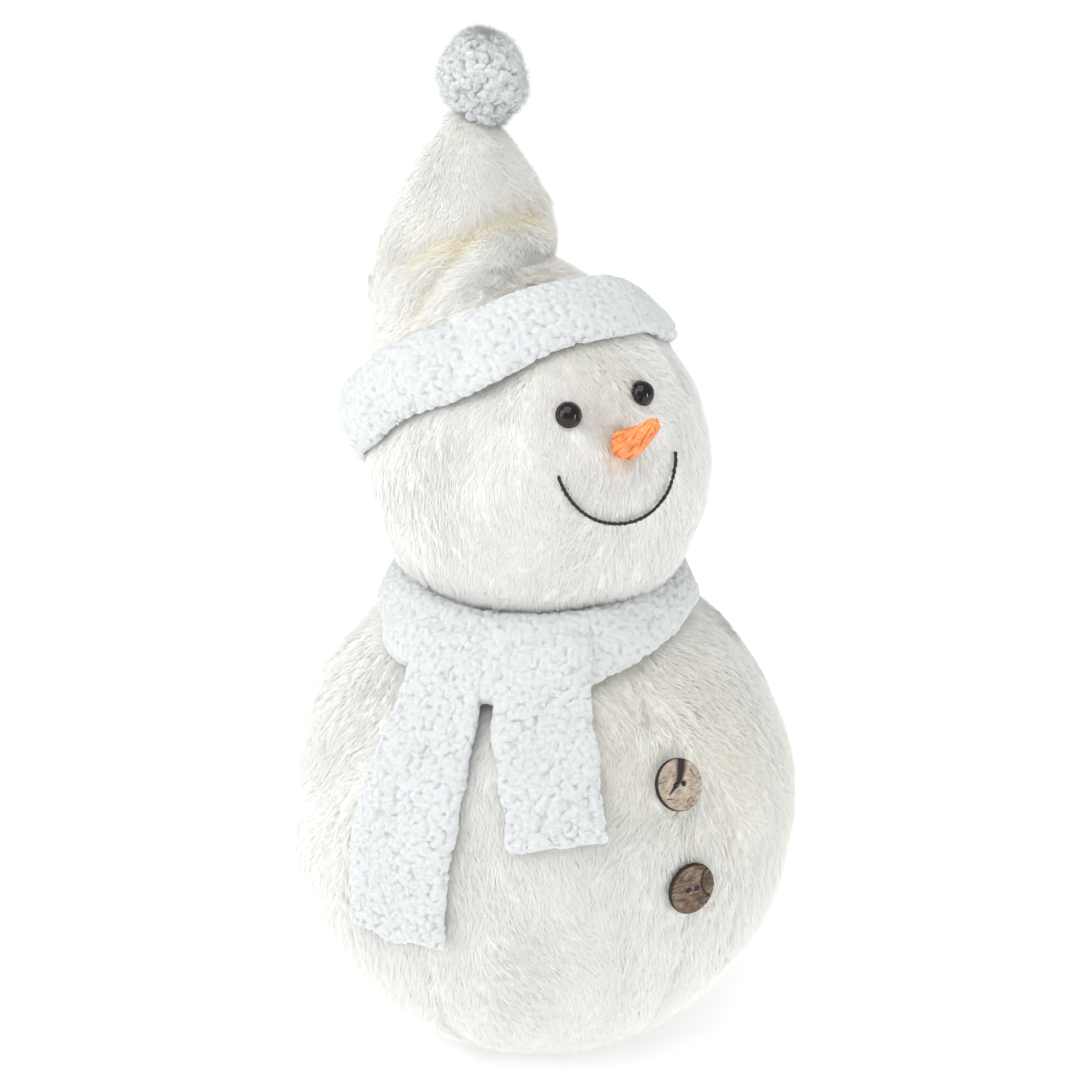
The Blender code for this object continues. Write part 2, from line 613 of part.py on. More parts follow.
# ---------------------------------------------------------------- the whole snowman

def build():
    body_shell()
    body_inside()
    neck_stitching()
    front = head_shell()
    fill = head_inside()
    eye("left", 1, front, fill)
    eye("right", -1, front, fill)
    nose(front, fill)
    mouth()
    button("upper", SHELL_GREY)
    button("lower", SHELL_BROWN)
    scarf_neck()
    scarf_tail("long")
    scarf_tail("short")
    hat_cuff()
    hat_cone()
    hat_stuffing()
    pompom()


build()
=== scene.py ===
import itertools
import json
import math

import bpy
import numpy as np
from mathutils import Matrix, Vector

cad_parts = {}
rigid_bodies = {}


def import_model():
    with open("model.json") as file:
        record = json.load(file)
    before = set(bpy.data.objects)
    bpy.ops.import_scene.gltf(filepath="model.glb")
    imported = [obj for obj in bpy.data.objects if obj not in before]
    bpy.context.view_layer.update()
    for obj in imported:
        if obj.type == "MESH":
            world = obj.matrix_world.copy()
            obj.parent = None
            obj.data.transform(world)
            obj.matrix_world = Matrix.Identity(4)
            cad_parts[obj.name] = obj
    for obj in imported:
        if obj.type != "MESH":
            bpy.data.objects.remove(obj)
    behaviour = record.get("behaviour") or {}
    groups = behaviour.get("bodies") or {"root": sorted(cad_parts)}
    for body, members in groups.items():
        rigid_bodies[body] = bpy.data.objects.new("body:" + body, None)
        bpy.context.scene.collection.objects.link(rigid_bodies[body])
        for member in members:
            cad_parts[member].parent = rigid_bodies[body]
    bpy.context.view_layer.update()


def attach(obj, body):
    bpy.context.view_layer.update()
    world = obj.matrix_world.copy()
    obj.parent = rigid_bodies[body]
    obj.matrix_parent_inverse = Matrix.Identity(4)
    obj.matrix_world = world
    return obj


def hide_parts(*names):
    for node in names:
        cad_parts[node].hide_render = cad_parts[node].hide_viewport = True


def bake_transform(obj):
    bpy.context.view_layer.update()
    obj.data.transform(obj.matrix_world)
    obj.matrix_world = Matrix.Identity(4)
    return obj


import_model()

SEED = 7

# ---------------- shape

# The CAD's dimensions, except that the face, the hat and the scarf's band stand a few millimetres off
# the CAD, and the band nearly 10 mm where its ends cross.

BODY_CENTRE = np.array((0, 0, 0.110))
BODY_R = 0.1155                 # outside of the CAD body
HEAD_CENTRE = np.array((0, 0.0003, 0.2846))
HEAD_R = 0.0735
FACE = np.array(Matrix.Rotation(math.radians(-4.3), 3, "Z") @ Matrix.Rotation(math.radians(-3.7), 3, "Y"))
EYE_SPOTS = {"left": (14.9, 28.9), "right": (-17.0, 27.6)}     # degrees round and up
EYE_R, EYE_HEIGHT = 0.0054, 0.0050
NOSE_UP, NOSE_LENGTH = 14.7, 0.037
MOUTH_CENTRE_Z, MOUTH_R = 0.0152, 0.0285
MOUTH_FROM, MOUTH_TO, MOUTH_STITCHES = 188.5, 346.5, 34
BUTTON_R, BUTTON_THICK = 0.0115, 0.0030
BUTTON_UP = {"upper": 24.5, "lower": 1.9}
HOLE_OFF = 0.0021               # each thread hole, from the button's middle
HAT_TILT = math.radians(33)
CUFF_PROFILE = (                # radius, along the axis, least height over the head
    (0.0580, 0.0465, 0.0006), (0.0650, 0.0490, 0.0040), (0.0715, 0.0470, 0.0070), (0.0770, 0.0415, 0.0075),
    (0.0810, 0.0330, 0.0070), (0.0815, 0.0240, 0.0066), (0.0800, 0.0185, 0.0056), (0.0780, 0.0155, 0.0036),
    (0.0762, 0.0165, 0.0006), (0.0730, 0.0240, 0.0006), (0.0695, 0.0330, 0.0006), (0.0655, 0.0400, 0.0006),
    (0.0620, 0.0440, 0.0006))
CUFF_TAKE_IN = 0.0080
CUFF_SHIFT = (-0.0052, 0.0039)
CUFF_LEAN, CUFF_MORE_TILT, CUFF_LIFT = math.radians(-2.2), math.radians(1.4), 0.0041
CONE_STATIONS = np.array((      # x, y, height above the head's centre, radius, degrees tilted back
    (-0.0030, 0.0215, 0.0340, 0.0640, 34),
    (-0.0070, 0.0286, 0.0424, 0.0592, 33), (-0.0090, 0.0354, 0.0529, 0.0503, 31),
    (-0.0110, 0.0418, 0.0630, 0.0450, 24), (-0.0103, 0.0450, 0.0740, 0.0434, 14),
    (-0.0070, 0.0460, 0.0860, 0.0410, 6), (-0.0035, 0.0470, 0.0980, 0.0370, 0),
    (-0.0030, 0.0470, 0.1100, 0.0300, 0), (-0.0030, 0.0460, 0.1210, 0.0230, -2),
    (-0.0022, 0.0460, 0.1300, 0.0165, -3), (-0.0028, 0.0464, 0.1365, 0.0112, -3),
    (-0.0028, 0.0464, 0.1392, 0.0060, -3)))
POMPOM_CENTRE = np.array((0.0060, 0.0440, 0.1540))
POMPOM_SIZE = np.array((0.0180, 0.0180, 0.0200))
WRAP_PROFILE = ((0.0480, 0.1108), (0.0530, 0.1132), (0.0590, 0.1161), (0.0660, 0.1157), (0.0730, 0.1100),
                (0.0790, 0.1020), (0.0820, 0.0945), (0.0790, 0.0900), (0.0700, 0.0955), (0.0600, 0.1010),
                (0.0510, 0.1055), (0.0470, 0.1080))                          # radius, over body centre
WRAP_FULL_ROUND, WRAP_FULL_SPAN = -50.0, 50.0   # where the band is widest, and how soon it narrows
WRAP_NARROW, WRAP_WIDE = 0.58, 1.22
SCARF_R, SCARF_THICK = 0.1165, 0.0060
# hanging ends: degrees round the body, degrees up, half width, and the (radius, height) line of
# the middle of its cloth where it leaves the band, over the body's centre
TAILS = {
    "long": {"round": (-62.5, -65.2), "up": (46.5, -9.0), "half": (0.0185, 0.0240),
             "top": ((0.0690, 0.1095), (0.0760, 0.1045), (0.0820, 0.0972), (0.0868, 0.0885))},
    "short": {"round": (-33.0, -30.0), "up": (46.5, 15.0), "half": (0.0205, 0.0215),
              "top": ((0.0600, 0.1120), (0.0660, 0.1103), (0.0745, 0.1058), (0.0812, 0.0978),
                      (0.0860, 0.0895))},
}

# ---------------- colours

# Pile tones, yellowest and darkest first. The low tones serve as painted shade where the fur lies in shade;
# elsewhere the tones mix at random.
FUR_TONES = ((0.94, 0.895, 0.71), (0.96, 0.935, 0.82), (0.97, 0.96, 0.91), (0.98, 0.975, 0.94),
             (0.985, 0.985, 0.965))
# Pink tones for the fur round the nose: a painted reflection of the orange nose.
NOSE_REFLECTION_TONES = ((0.95, 0.66, 0.53), (0.96, 0.79, 0.69))
# Hat pile tones, yellowest first; the yellow tones serve as painted shade in the cone's folds.
HAT_TONES = ((0.96, 0.86, 0.60), (0.97, 0.92, 0.78), (0.97, 0.945, 0.87), (0.98, 0.97, 0.92),
             (0.985, 0.98, 0.95))
SHERPA_COLOUR = (0.665, 0.685, 0.687)
# Painted shade: the sherpa's hollows between curls are darkened towards this colour.
SHERPA_PAINTED_SHADE = (0.63, 0.65, 0.652)


# ---------------- vectors and noise

def unit(vectors):
    length = np.linalg.norm(vectors, axis=-1, keepdims=True)
    return vectors / np.maximum(length, 1e-12)


def direction(round_deg, up_deg):
    """Unit vector by degrees round from the front, towards +X, and degrees up."""
    r, u = np.radians(round_deg), np.radians(up_deg)
    return np.stack([np.cos(u) * np.sin(r), -np.cos(u) * np.cos(r), np.sin(u) + 0 * r], -1)


def rounds_of(vectors):
    return np.degrees(np.arctan2(vectors[..., 0], -vectors[..., 1]))


def turns(count):
    """Angles at even steps round a circle."""
    return np.linspace(0, 2 * math.pi, count, endpoint=False)


def between(ends, share):
    return ends[0] + (ends[1] - ends[0]) * share


def bell(off, width):
    """1 in the middle of a dent or a patch, falling smoothly to 0 past its width."""
    return np.exp(-(off / width) ** 2)


def reach_to(out, spot, radius):
    """Distance on a ball of this radius from each direction to a spot, given in degrees round and up."""
    return np.linalg.norm(out - direction(*spot), axis=-1) * radius


def run_along(points):
    """Length run from the first point of a line to each of its points."""
    return np.concatenate(([0], np.cumsum(np.linalg.norm(np.diff(points, axis=0), axis=1))))


def resampled(line, run, at):
    """Points of a line at these lengths along it, run being the length up to each of its own points."""
    return np.stack([np.interp(at, run, values) for values in line.T], -1)


def from_face(points):
    """Points of the face's own frame, which turns and leans with the head, in the shared frame."""
    return HEAD_CENTRE + points @ FACE.T


def waves(points, wavelength, seed):
    """Smooth random field of about -1 to 1."""
    rng = np.random.default_rng(seed)
    total = np.zeros(points.shape[:-1])
    count = 7
    for _ in range(count):
        heading = rng.normal(size=3)
        heading *= rng.uniform(0.7, 1.4) * 2 * math.pi / wavelength / np.linalg.norm(heading)
        total += np.sin(points @ heading + rng.uniform(0, 2 * math.pi))
    return total / math.sqrt(count)


def lattice_random(corner, seed):
    """Three random numbers from 0 to 1 for each whole-number corner."""
    mask = 0xFFFFFFFF
    key = corner.astype(np.int64) @ np.array((73856093, 19349663, 83492791)) + seed * 97531
    numbers = []
    for salt in (1, 2, 3):
        h = (key + salt * 374761393) & mask
        h = ((h ^ (h >> 15)) * 1103515245) & mask
        h = ((h ^ (h >> 13)) * 1664525) & mask
        numbers.append((h ^ (h >> 16)) / mask)
    return np.stack(numbers, -1)


def nearest_cell(points, seed):
    """Distance, in cells, to the nearest point of a jittered unit grid."""
    base = np.floor(points)
    best = np.full(points.shape[:-1], 9.0)
    for step in itertools.product((-1, 0, 1), repeat=3):
        corner = base + step
        gap = np.linalg.norm(points - corner - lattice_random(corner, seed), axis=-1)
        best = np.minimum(best, gap)
    return best


def popcorn(points, cell, seed):
    """Height, 0 to 1, of sherpa's curled tufts: rounded blobs with finer curls on them."""
    warp = np.stack([waves(points, 0.007, seed + i) for i in range(3)], -1)
    warped = points + 0.18 * cell * warp
    blob = np.sqrt(np.clip(1 - (nearest_cell(warped / cell, seed) / 0.82) ** 2, 0, 1))
    curl = np.sqrt(np.clip(1 - (nearest_cell(warped / (cell * 0.5), seed + 9) / 0.85) ** 2, 0, 1))
    return 0.8 * blob + 0.2 * curl


# ---------------- materials

def add_node(tree, kind, inputs=None, **settings):
    made = tree.nodes.new(kind)
    for key, value in settings.items():
        setattr(made, key, value)
    for socket, value in (inputs or {}).items():
        if isinstance(value, bpy.types.NodeSocket):
            tree.links.new(value, made.inputs[socket])
        else:
            made.inputs[socket].default_value = value
    return made


class Finish:
    """A Principled material whose nodes are built up a call at a time."""

    def __init__(self, name, roughness=0.8, **sockets):
        self.material = bpy.data.materials.new(name)
        self.material.use_nodes = True
        self.tree = self.material.node_tree
        self.shader = self.tree.nodes["Principled BSDF"]
        self.shader.inputs["Roughness"].default_value = roughness
        for socket, value in sockets.items():
            self.shader.inputs[socket.replace("_", " ")].default_value = value
        self.place = add_node(self.tree, "ShaderNodeTexCoord").outputs["Object"]

    def stretched(self, scale):
        return add_node(self.tree, "ShaderNodeMapping", {"Vector": self.place, "Scale": scale}).outputs[0]

    def noise(self, scale, detail=3.0, rough=0.5, vector=None, distortion=0.0):
        inputs = {"Vector": vector or self.place, "Scale": scale, "Detail": detail, "Roughness": rough,
                  "Distortion": distortion}
        return add_node(self.tree, "ShaderNodeTexNoise", inputs).outputs["Fac"]

    def ramp(self, fac, *stops):
        made = add_node(self.tree, "ShaderNodeValToRGB", {"Fac": fac})
        elements = made.color_ramp.elements
        while len(elements) < len(stops):
            elements.new(0.5)
        for element, (position, colour) in zip(elements, stops):
            element.position = position
            element.color = (*colour, 1)
        return made.outputs["Color"]

    def mix(self, fac, low, high):
        made = add_node(self.tree, "ShaderNodeMix", data_type="RGBA")
        for index, value in ((0, fac), (6, low), (7, high)):
            if isinstance(value, bpy.types.NodeSocket):
                self.tree.links.new(value, made.inputs[index])
            else:
                made.inputs[index].default_value = value if index == 0 else (*value, 1)
        return made.outputs[2]

    def math(self, operation, *values, clamp=False):
        inputs = dict(enumerate(values))
        return add_node(self.tree, "ShaderNodeMath", inputs, operation=operation, use_clamp=clamp).outputs[0]

    def attribute(self, name):
        return add_node(self.tree, "ShaderNodeAttribute", attribute_name=name).outputs["Fac"]

    def colour(self, socket):
        self.tree.links.new(socket, self.shader.inputs["Base Color"])
        return self

    def roughness(self, fac, low, high):
        spread = add_node(self.tree, "ShaderNodeMapRange", {"Value": fac, "To Min": low, "To Max": high})
        self.tree.links.new(spread.outputs[0], self.shader.inputs["Roughness"])
        return self

    def bump(self, height, distance, strength=1.0):
        inputs = {"Height": height, "Distance": distance, "Strength": strength}
        made = add_node(self.tree, "ShaderNodeBump", inputs)
        self.tree.links.new(made.outputs[0], self.shader.inputs["Normal"])
        return self


def shades(colour, low, high):
    return tuple(c * low for c in colour), tuple(min(1, c * high) for c in colour)


def grained(name, colour, scale, distance, roughness=0.8, **sockets):
    """A plain stuff with fine mottling, its colour varied a little and its surface slightly rough."""
    finish = Finish(name, roughness, **sockets)
    fine = finish.noise(scale, 4.0, 0.6)
    dark, light = shades(colour, 0.86, 1.06)
    finish.colour(finish.ramp(fine, (0.3, dark), (0.7, light)))
    return finish.roughness(fine, roughness - 0.08, roughness + 0.08).bump(fine, distance).material


def strand_finish(name, colour):
    """One tone of pile: plain in colour, since the pile mixes several, with a soft uneven sheen."""
    finish = Finish(name, 0.85, Specular_IOR_Level=0.15, Sheen_Weight=0.12)
    finish.shader.inputs["Base Color"].default_value = (*colour, 1)
    return finish.roughness(finish.noise(900.0, 2.0), 0.7, 1.0).material


def skin_finish(name, colour, streak):
    """Knitted ground of the fur, seen between the strands: streaky, and a little darker than the pile as
    painted shade down among the strands.
    """
    finish = Finish(name, 0.95, Specular_IOR_Level=0.1)
    streaks = finish.noise(420.0, 4.0, 0.6, finish.stretched(streak))
    patches = finish.noise(22.0, 2.0)
    dark, light = shades(colour, 0.90, 1.05)
    both = finish.math("ADD", finish.math("MULTIPLY", streaks, 0.7), finish.math("MULTIPLY", patches, 0.3))
    finish.colour(finish.ramp(both, (0.35, dark), (0.65, light)))
    return finish.bump(streaks, 0.0006).material


def sherpa_finish():
    finish = Finish("sherpa", 0.95, Specular_IOR_Level=0.1, Subsurface_Weight=0.6,
                    Subsurface_Radius=(1, 1, 1), Subsurface_Scale=0.0012)
    curls = finish.noise(1500.0, 4.0, 0.65, distortion=0.6)
    height = finish.attribute("curl_height")
    # Painted shade: the colour darkens where the curls are low, in the hollows between them.
    finish.colour(finish.mix(height, SHERPA_PAINTED_SHADE, finish.ramp(
        curls, (0.3, shades(SHERPA_COLOUR, 0.94, 1)[0]), (0.7, SHERPA_COLOUR))))
    return finish.bump(curls, 0.0005).material


def eye_finish():
    finish = Finish("eye_gloss", 0.06, IOR=1.49, Specular_IOR_Level=0.4)
    cloud = finish.noise(300.0, 2.0)
    finish.colour(finish.ramp(cloud, (0.3, (0.004, 0.003, 0.003)), (0.7, (0.010, 0.006, 0.005))))
    return finish.roughness(cloud, 0.04, 0.09).material


def rim_finish():
    finish = Finish("eye_rim_brown", 0.4, Specular_IOR_Level=0.3)
    cloud = finish.noise(700.0, 3.0)
    finish.colour(finish.ramp(cloud, (0.3, (0.035, 0.012, 0.006)), (0.7, (0.075, 0.026, 0.012))))
    return finish.material


def carrot_finish():
    """Carved and painted wood: orange streaked darker and paler along the grain, with dark reddish cuts along
    it.
    """
    finish = Finish("carved_carrot", 0.5, Specular_IOR_Level=0.35)
    cuts = finish.attribute("carve")
    grain = finish.noise(260.0, 5.0, 0.65, finish.stretched((1.0, 0.35, 0.6)))
    base = finish.ramp(grain, (0.28, (0.50, 0.095, 0.016)), (0.44, (0.74, 0.23, 0.070)),
                       (0.58, (0.81, 0.31, 0.105)), (0.76, (0.86, 0.45, 0.13)))
    finish.colour(finish.mix(cuts, base, (0.28, 0.032, 0.008)))
    return finish.roughness(grain, 0.4, 0.65).bump(grain, 0.0003).material


def thread_finish(name, colour):
    finish = Finish(name, 0.85, Sheen_Weight=0.15)
    twist = finish.noise(2600.0, 3.0, 0.6)
    dark, light = shades(colour, 0.6, 1.5)
    finish.colour(finish.ramp(twist, (0.3, dark), (0.7, light)))
    return finish.bump(twist, 0.0003).material


# ---------------- meshes

def quads(rows, cols, wrap_rows):
    """Faces of a grid whose columns close on themselves, and whose rows may."""
    r, c = np.meshgrid(np.arange(rows if wrap_rows else rows - 1), np.arange(cols), indexing="ij")
    below, beside = (r + 1) % rows, (c + 1) % cols
    corners = (r * cols + c, r * cols + beside, below * cols + beside, below * cols + c)
    return np.stack(corners, -1).reshape(-1, 4)


def mesh_object(name, verts, faces, materials, slots=None, normals=None):
    """An object from arrays: verts, a list of face arrays, its materials and a slot for each face."""
    mesh = bpy.data.meshes.new(name)
    loops = np.concatenate([f.reshape(-1) for f in faces]).astype(np.int32)
    sizes = np.concatenate([np.full(len(f), f.shape[1]) for f in faces])
    mesh.vertices.add(len(verts))
    mesh.vertices.foreach_set("co", np.ascontiguousarray(verts, np.float32).reshape(-1))
    mesh.loops.add(len(loops))
    mesh.loops.foreach_set("vertex_index", loops)
    mesh.polygons.add(len(sizes))
    starts = np.concatenate(([0], np.cumsum(sizes)[:-1])).astype(np.int32)
    mesh.polygons.foreach_set("loop_start", starts)
    if slots is not None:
        mesh.polygons.foreach_set("material_index", np.asarray(slots, np.int32))
    mesh.update(calc_edges=True)
    for material in materials:
        mesh.materials.append(material)
    mesh.shade_smooth()
    if normals is not None:
        mesh.normals_split_custom_set_from_vertices(normals.astype(np.float32))
    obj = bpy.data.objects.new(name, mesh)
    bpy.context.scene.collection.objects.link(obj)
    return obj


def set_attribute(obj, name, values):
    data = obj.data.attributes.new(name, "FLOAT", "POINT").data
    padded = np.zeros(len(obj.data.vertices), np.float32)
    padded[:len(values)] = values
    data.foreach_set("value", padded)


def ring_normals(rings, wrap_rows):
    """Outward normals of a grid of rings, each ring anticlockwise about the way the rows go."""
    across = np.roll(rings, -1, 1) - np.roll(rings, 1, 1)
    if wrap_rows:
        along = np.roll(rings, -1, 0) - np.roll(rings, 1, 0)
    else:
        along = np.gradient(rings, axis=0)
    return unit(np.cross(across, along))


def skin_arrays(rings, wrap_rows=False):
    """Vertices and faces of a closed skin: rings that close on themselves, or that end in two poles."""
    rows, cols = rings.shape[:2]
    verts = rings.reshape(-1, 3)
    faces = [quads(rows, cols, wrap_rows)]
    if not wrap_rows:
        start, end = len(verts), len(verts) + 1
        verts = np.concatenate([verts, [rings[0].mean(0), rings[-1].mean(0)]])
        c = np.arange(cols)
        beside = (c + 1) % cols
        last = (rows - 1) * cols
        faces.append(np.stack([np.full(cols, start), beside, c], -1))
        faces.append(np.stack([np.full(cols, end), last + c, last + beside], -1))
    return verts, faces


def skin(name, rings, material, wrap_rows=False):
    verts, faces = skin_arrays(rings, wrap_rows)
    return mesh_object(name, verts, faces, [material])


def smooth_loop(points, count):
    """A closed Catmull-Rom curve through points, at even steps along it."""
    points = np.asarray(points, float)
    fine = []
    steps = 24
    for i in range(len(points)):
        p0, p1, p2, p3 = (points[(i + k) % len(points)] for k in (-1, 0, 1, 2))
        for t in np.arange(steps) / steps:
            fine.append(0.5 * (2 * p1 + (p2 - p0) * t + (2 * p0 - 5 * p1 + 4 * p2 - p3) * t * t
                               + (3 * p1 - p0 - 3 * p2 + p3) * t ** 3))
    fine = np.array(fine + [fine[0]])
    run = run_along(fine)
    at = np.linspace(0, run[-1], count, endpoint=False)
    return resampled(fine, run, at)


def ring_round(profile, count):
    """Rings of a (radius, height) loop carried round the Z axis."""
    a = turns(count)[:, None]
    r, z = profile[None, :, 0], profile[None, :, 1]
    return np.stack([r * np.cos(a), r * np.sin(a), z + 0 * a], -1)


def fit(piece, body_name, slot, *nodes):
    """Puts a piece on the body it rides on and hides the CAD nodes it stands for. The slot is not used."""
    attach(piece, body_name)
    if nodes:
        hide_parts(*nodes)


# ---------------- pile

NEEDLE_FACES = np.array(((2, 1, 0), (0, 1, 3), (1, 2, 3), (2, 0, 3)))


def needle_arrays(start, tip, up, width):
    """Closed three-sided needles, wider than they are thick, each with three root corners and a tip."""
    heading = unit(tip - start)
    side = unit(np.cross(up, heading))
    lift = np.cross(heading, side)
    width = width[:, None]
    corners = [start + (side * along + lift * over) * width
               for along, over in ((1, -0.3), (0, 0.6), (-1, -0.3))]
    verts = np.stack(corners + [tip], 1)
    offsets = np.arange(len(start))[:, None, None] * 4
    return verts.reshape(-1, 3), [(NEEDLE_FACES[None] + offsets).reshape(-1, 3)]


def rotated(vectors, axis, angle):
    """Vectors turned about unit axes they are square to."""
    angle = angle[..., None]
    return vectors * np.cos(angle) + np.cross(axis, vectors) * np.sin(angle)


def grow(root, normal, comb, spec, rng, press=1.0):
    """Strands in tufts, which start apart and lean together; press scales how high each tuft rises."""
    shape = (len(root), spec["per_tuft"])
    comb = rotated(comb, normal, rng.normal(0, math.radians(spec["stray"]), len(root)))
    side = np.cross(normal, comb)
    offset = rng.normal(0, spec["spread"], (*shape, 2))
    start = root[:, None] + offset[..., :1] * comb[:, None] + offset[..., 1:] * side[:, None]
    heading = rotated(np.broadcast_to(comb[:, None], (*shape, 3)), normal[:, None],
                      rng.normal(0, math.radians(spec["stray"] * 0.6), shape))
    length = spec["length"] * rng.uniform(0.7, 1.2, (*shape, 1)) * rng.uniform(0.85, 1.15, (len(root), 1, 1))
    rise = spec["rise"] * np.reshape(press, (-1, 1, 1)) * rng.uniform(0.55, 1.0, (*shape, 1))
    rise *= 1 + 0.55 * (rng.uniform(size=(*shape, 1)) > 0.94)
    over = normal[:, None]
    tip = start + heading * length + over * rise
    tip += (tip.mean(1, keepdims=True) - tip) * spec["clump"]
    start = start - over * 0.0004
    return start, tip, np.broadcast_to(over, start.shape)


def pile_object(name, strands, tone, materials, width, soften=0.92):
    """One object of strands. Their normals lean to the skin's, as soft fibre shades."""
    start, tip, up = (part.reshape(-1, 3) for part in strands)
    verts, faces = needle_arrays(start, tip, up, width)
    own = unit(verts.reshape(-1, 4, 3) - start[:, None] * 0.98 - tip[:, None] * 0.02)
    normals = unit(up[:, None] * soften + own * (1 - soften))
    return mesh_object(name, verts, faces, materials, np.repeat(tone, 4), normals.reshape(-1, 3))


def split_pile(names, part, strands, tone, materials, width):
    """One pile for each name, of the tufts whose part number is the name's place in the list."""
    piles = []
    for i, name in enumerate(names):
        mine = part == i
        own = [points[mine] for points in strands]
        piles.append(pile_object(name, own, tone[mine].reshape(-1), materials, width[mine].reshape(-1)))
    return piles


def spiral(count):
    """Directions spread evenly over a sphere."""
    i = np.arange(count) + 0.5
    z = 1 - 2 * i / count
    a = i * math.pi * (3 - math.sqrt(5))
    r = np.sqrt(1 - z * z)
    return np.stack([r * np.cos(a), r * np.sin(a), z], -1)


def combed_down(normal, swirl):
    """Tangents that run down a surface, turned about its normal by swirl radians."""
    down = np.array((0, 0, -1.0)) - normal * -normal[..., 2:]
    return rotated(unit(down), normal, swirl)


def strand_tones(level, spec, count, rng):
    """Tone number of every strand, scattered about its tuft's level of 0 to 1."""
    level = np.repeat(level[:, None], spec["per_tuft"], 1)
    tones = np.round(level * (count - 1) + rng.normal(0, spec["mixing"], level.shape))
    return np.clip(tones, 0, count - 1).astype(int)


# ---------------- body

BODY_SKIN_R = 0.1152
BODY_FUR = {"per_tuft": 18, "spread": 0.0020, "length": 0.0075, "rise": 0.0036, "clump": 0.28, "stray": 11,
            "mixing": 0.6, "width": (0.00011, 0.00019)}
BODY_TUFTS = 15500
FOOT_Z = 0.0016
BODY_FUR_UP = (-70, 57)         # degrees between which the body's fur grows
STRAND_LOWEST = (0.0012, 0.0005)        # least height of a strand's root and of its tip
SEAM_DEPTH, SEAM_WIDTH = 0.0012, 0.0035
DIMPLE_SPOT, DIMPLE_DEPTH, DIMPLE_WIDTH = (-1.8, 39.0), 0.0028, 0.0075      # above the buttons
TAIL_PRESS = 0.3                # share of its height that the pile keeps under the scarf's ends
CHEST_SHADE, FLANK_SHADE = direction(2, 38), direction(42, 14)      # where painted shade makes the fur darker and yellower: the chest under the scarf, and the far flank


# Share of painted shade about a spot: 1 there, falling off over reach.
def painted_shade_share(out, spot, reach):
    return bell(np.linalg.norm(out - spot, axis=-1), reach)


def body_surface(out):
    """The stuffed body's skin: a ball with gentle lumps, sewn creases and a flat foot."""
    r = BODY_SKIN_R - 0.0004 + 0.0007 * waves(out, 0.75, 21) + 0.0003 * waves(out, 0.3, 22)
    level = np.sqrt(np.clip(1 - out[..., 2] ** 2, 0, 1))
    off_seam = (rounds_of(out) + 30) % 60 - 30
    reach = np.radians(off_seam) * level * BODY_SKIN_R
    r = r - SEAM_DEPTH * bell(reach, SEAM_WIDTH) * np.clip((level - 0.25) / 0.2, 0, 1)
    r = r - DIMPLE_DEPTH * bell(reach_to(out, DIMPLE_SPOT, BODY_SKIN_R), DIMPLE_WIDTH)
    points = BODY_CENTRE + out * r[..., None]
    points[..., 2] = np.maximum(points[..., 2], FOOT_Z)
    return points


def sphere_rings(rows, cols, low=-90.0, high=90.0):
    up = np.linspace(low, high, rows + 2)[1:-1, None]
    a = np.linspace(0, 360, cols, endpoint=False)[None]
    return direction(a + 90, up + 0 * a)


def under_tail(out):
    """Where the hanging ends of the scarf press the pile flat."""
    up = np.degrees(np.arcsin(np.clip(out[:, 2], -1, 1)))
    hidden = np.zeros(len(out), bool)
    for spec in TAILS.values():
        down = np.clip((up - spec["up"][0]) / (spec["up"][1] - spec["up"][0]), 0, 1)
        middle = between(spec["round"], down)
        half = between(spec["half"], np.minimum(1, 2 * down))
        reach = np.radians(rounds_of(out) - middle) * np.cos(np.radians(up)) * BODY_R
        hidden |= (np.abs(reach) < half - 0.003) & (up > spec["up"][1] + 2)
    return hidden


def body(finish, tones):
    ball = skin("body_skin", body_surface(sphere_rings(150, 240)), finish)
    fit(ball, "root", "fur_panels", *["body_panel_%d" % (i + 1) for i in range(6)])

    rng = np.random.default_rng(SEED)
    out = unit(spiral(BODY_TUFTS) + rng.normal(0, 0.006, (BODY_TUFTS, 3)))
    up = np.degrees(np.arcsin(out[:, 2]))
    keep = (up < BODY_FUR_UP[1]) & (up > BODY_FUR_UP[0])
    for up_deg in BUTTON_UP.values():
        keep &= reach_to(out, (0, up_deg), BODY_R) > BUTTON_R - 0.0015
    out = out[keep]
    swirl = 0.45 * waves(out, 0.7, 31) + 0.25 * waves(out, 0.25, 32)
    press = np.where(under_tail(out), TAIL_PRESS, 1.0)
    strands = grow(body_surface(out), out, combed_down(out, swirl), BODY_FUR, rng, press)
    for points, lowest in zip(strands, STRAND_LOWEST):
        points[..., 2] = np.maximum(points[..., 2], lowest)
    gore = np.floor((rounds_of(out) % 360) / 60).astype(int)
    level = 0.74 + 0.08 * waves(out, 0.5, 33) + 0.07 * waves(out, 0.08, 34)
    # Painted shade: darker, yellower fur on the chest under the scarf and on the far flank.
    level -= 0.50 * painted_shade_share(out, CHEST_SHADE, 0.50) + 0.22 * painted_shade_share(out, FLANK_SHADE, 0.55)
    tone = strand_tones(level, BODY_FUR, len(tones), rng)
    width = rng.uniform(*BODY_FUR["width"], tone.shape)
    names = ["body_pile_%d" % (i + 1) for i in range(6)]
    for pile in split_pile(names, gore, strands, tone, tones, width):
        fit(pile, "root", "fur_panels")


# ---------------- head

HEAD_SKIN_R = 0.0733
HEAD_FUR = {"per_tuft": 18, "spread": 0.0017, "length": 0.0066, "rise": 0.0032, "clump": 0.28, "stray": 11,
            "mixing": 0.6, "width": (0.00010, 0.00017)}
HEAD_TUFTS = 8600
HEAD_SIDES = ("front", "left", "back", "right")
HAIRLINE = 0.030                # fur grows up to this height along the hat's axis
NOSE_CLEAR, LIP_CLEAR = 0.0035, 0.0009      # skin left bare about the nose and the mouth
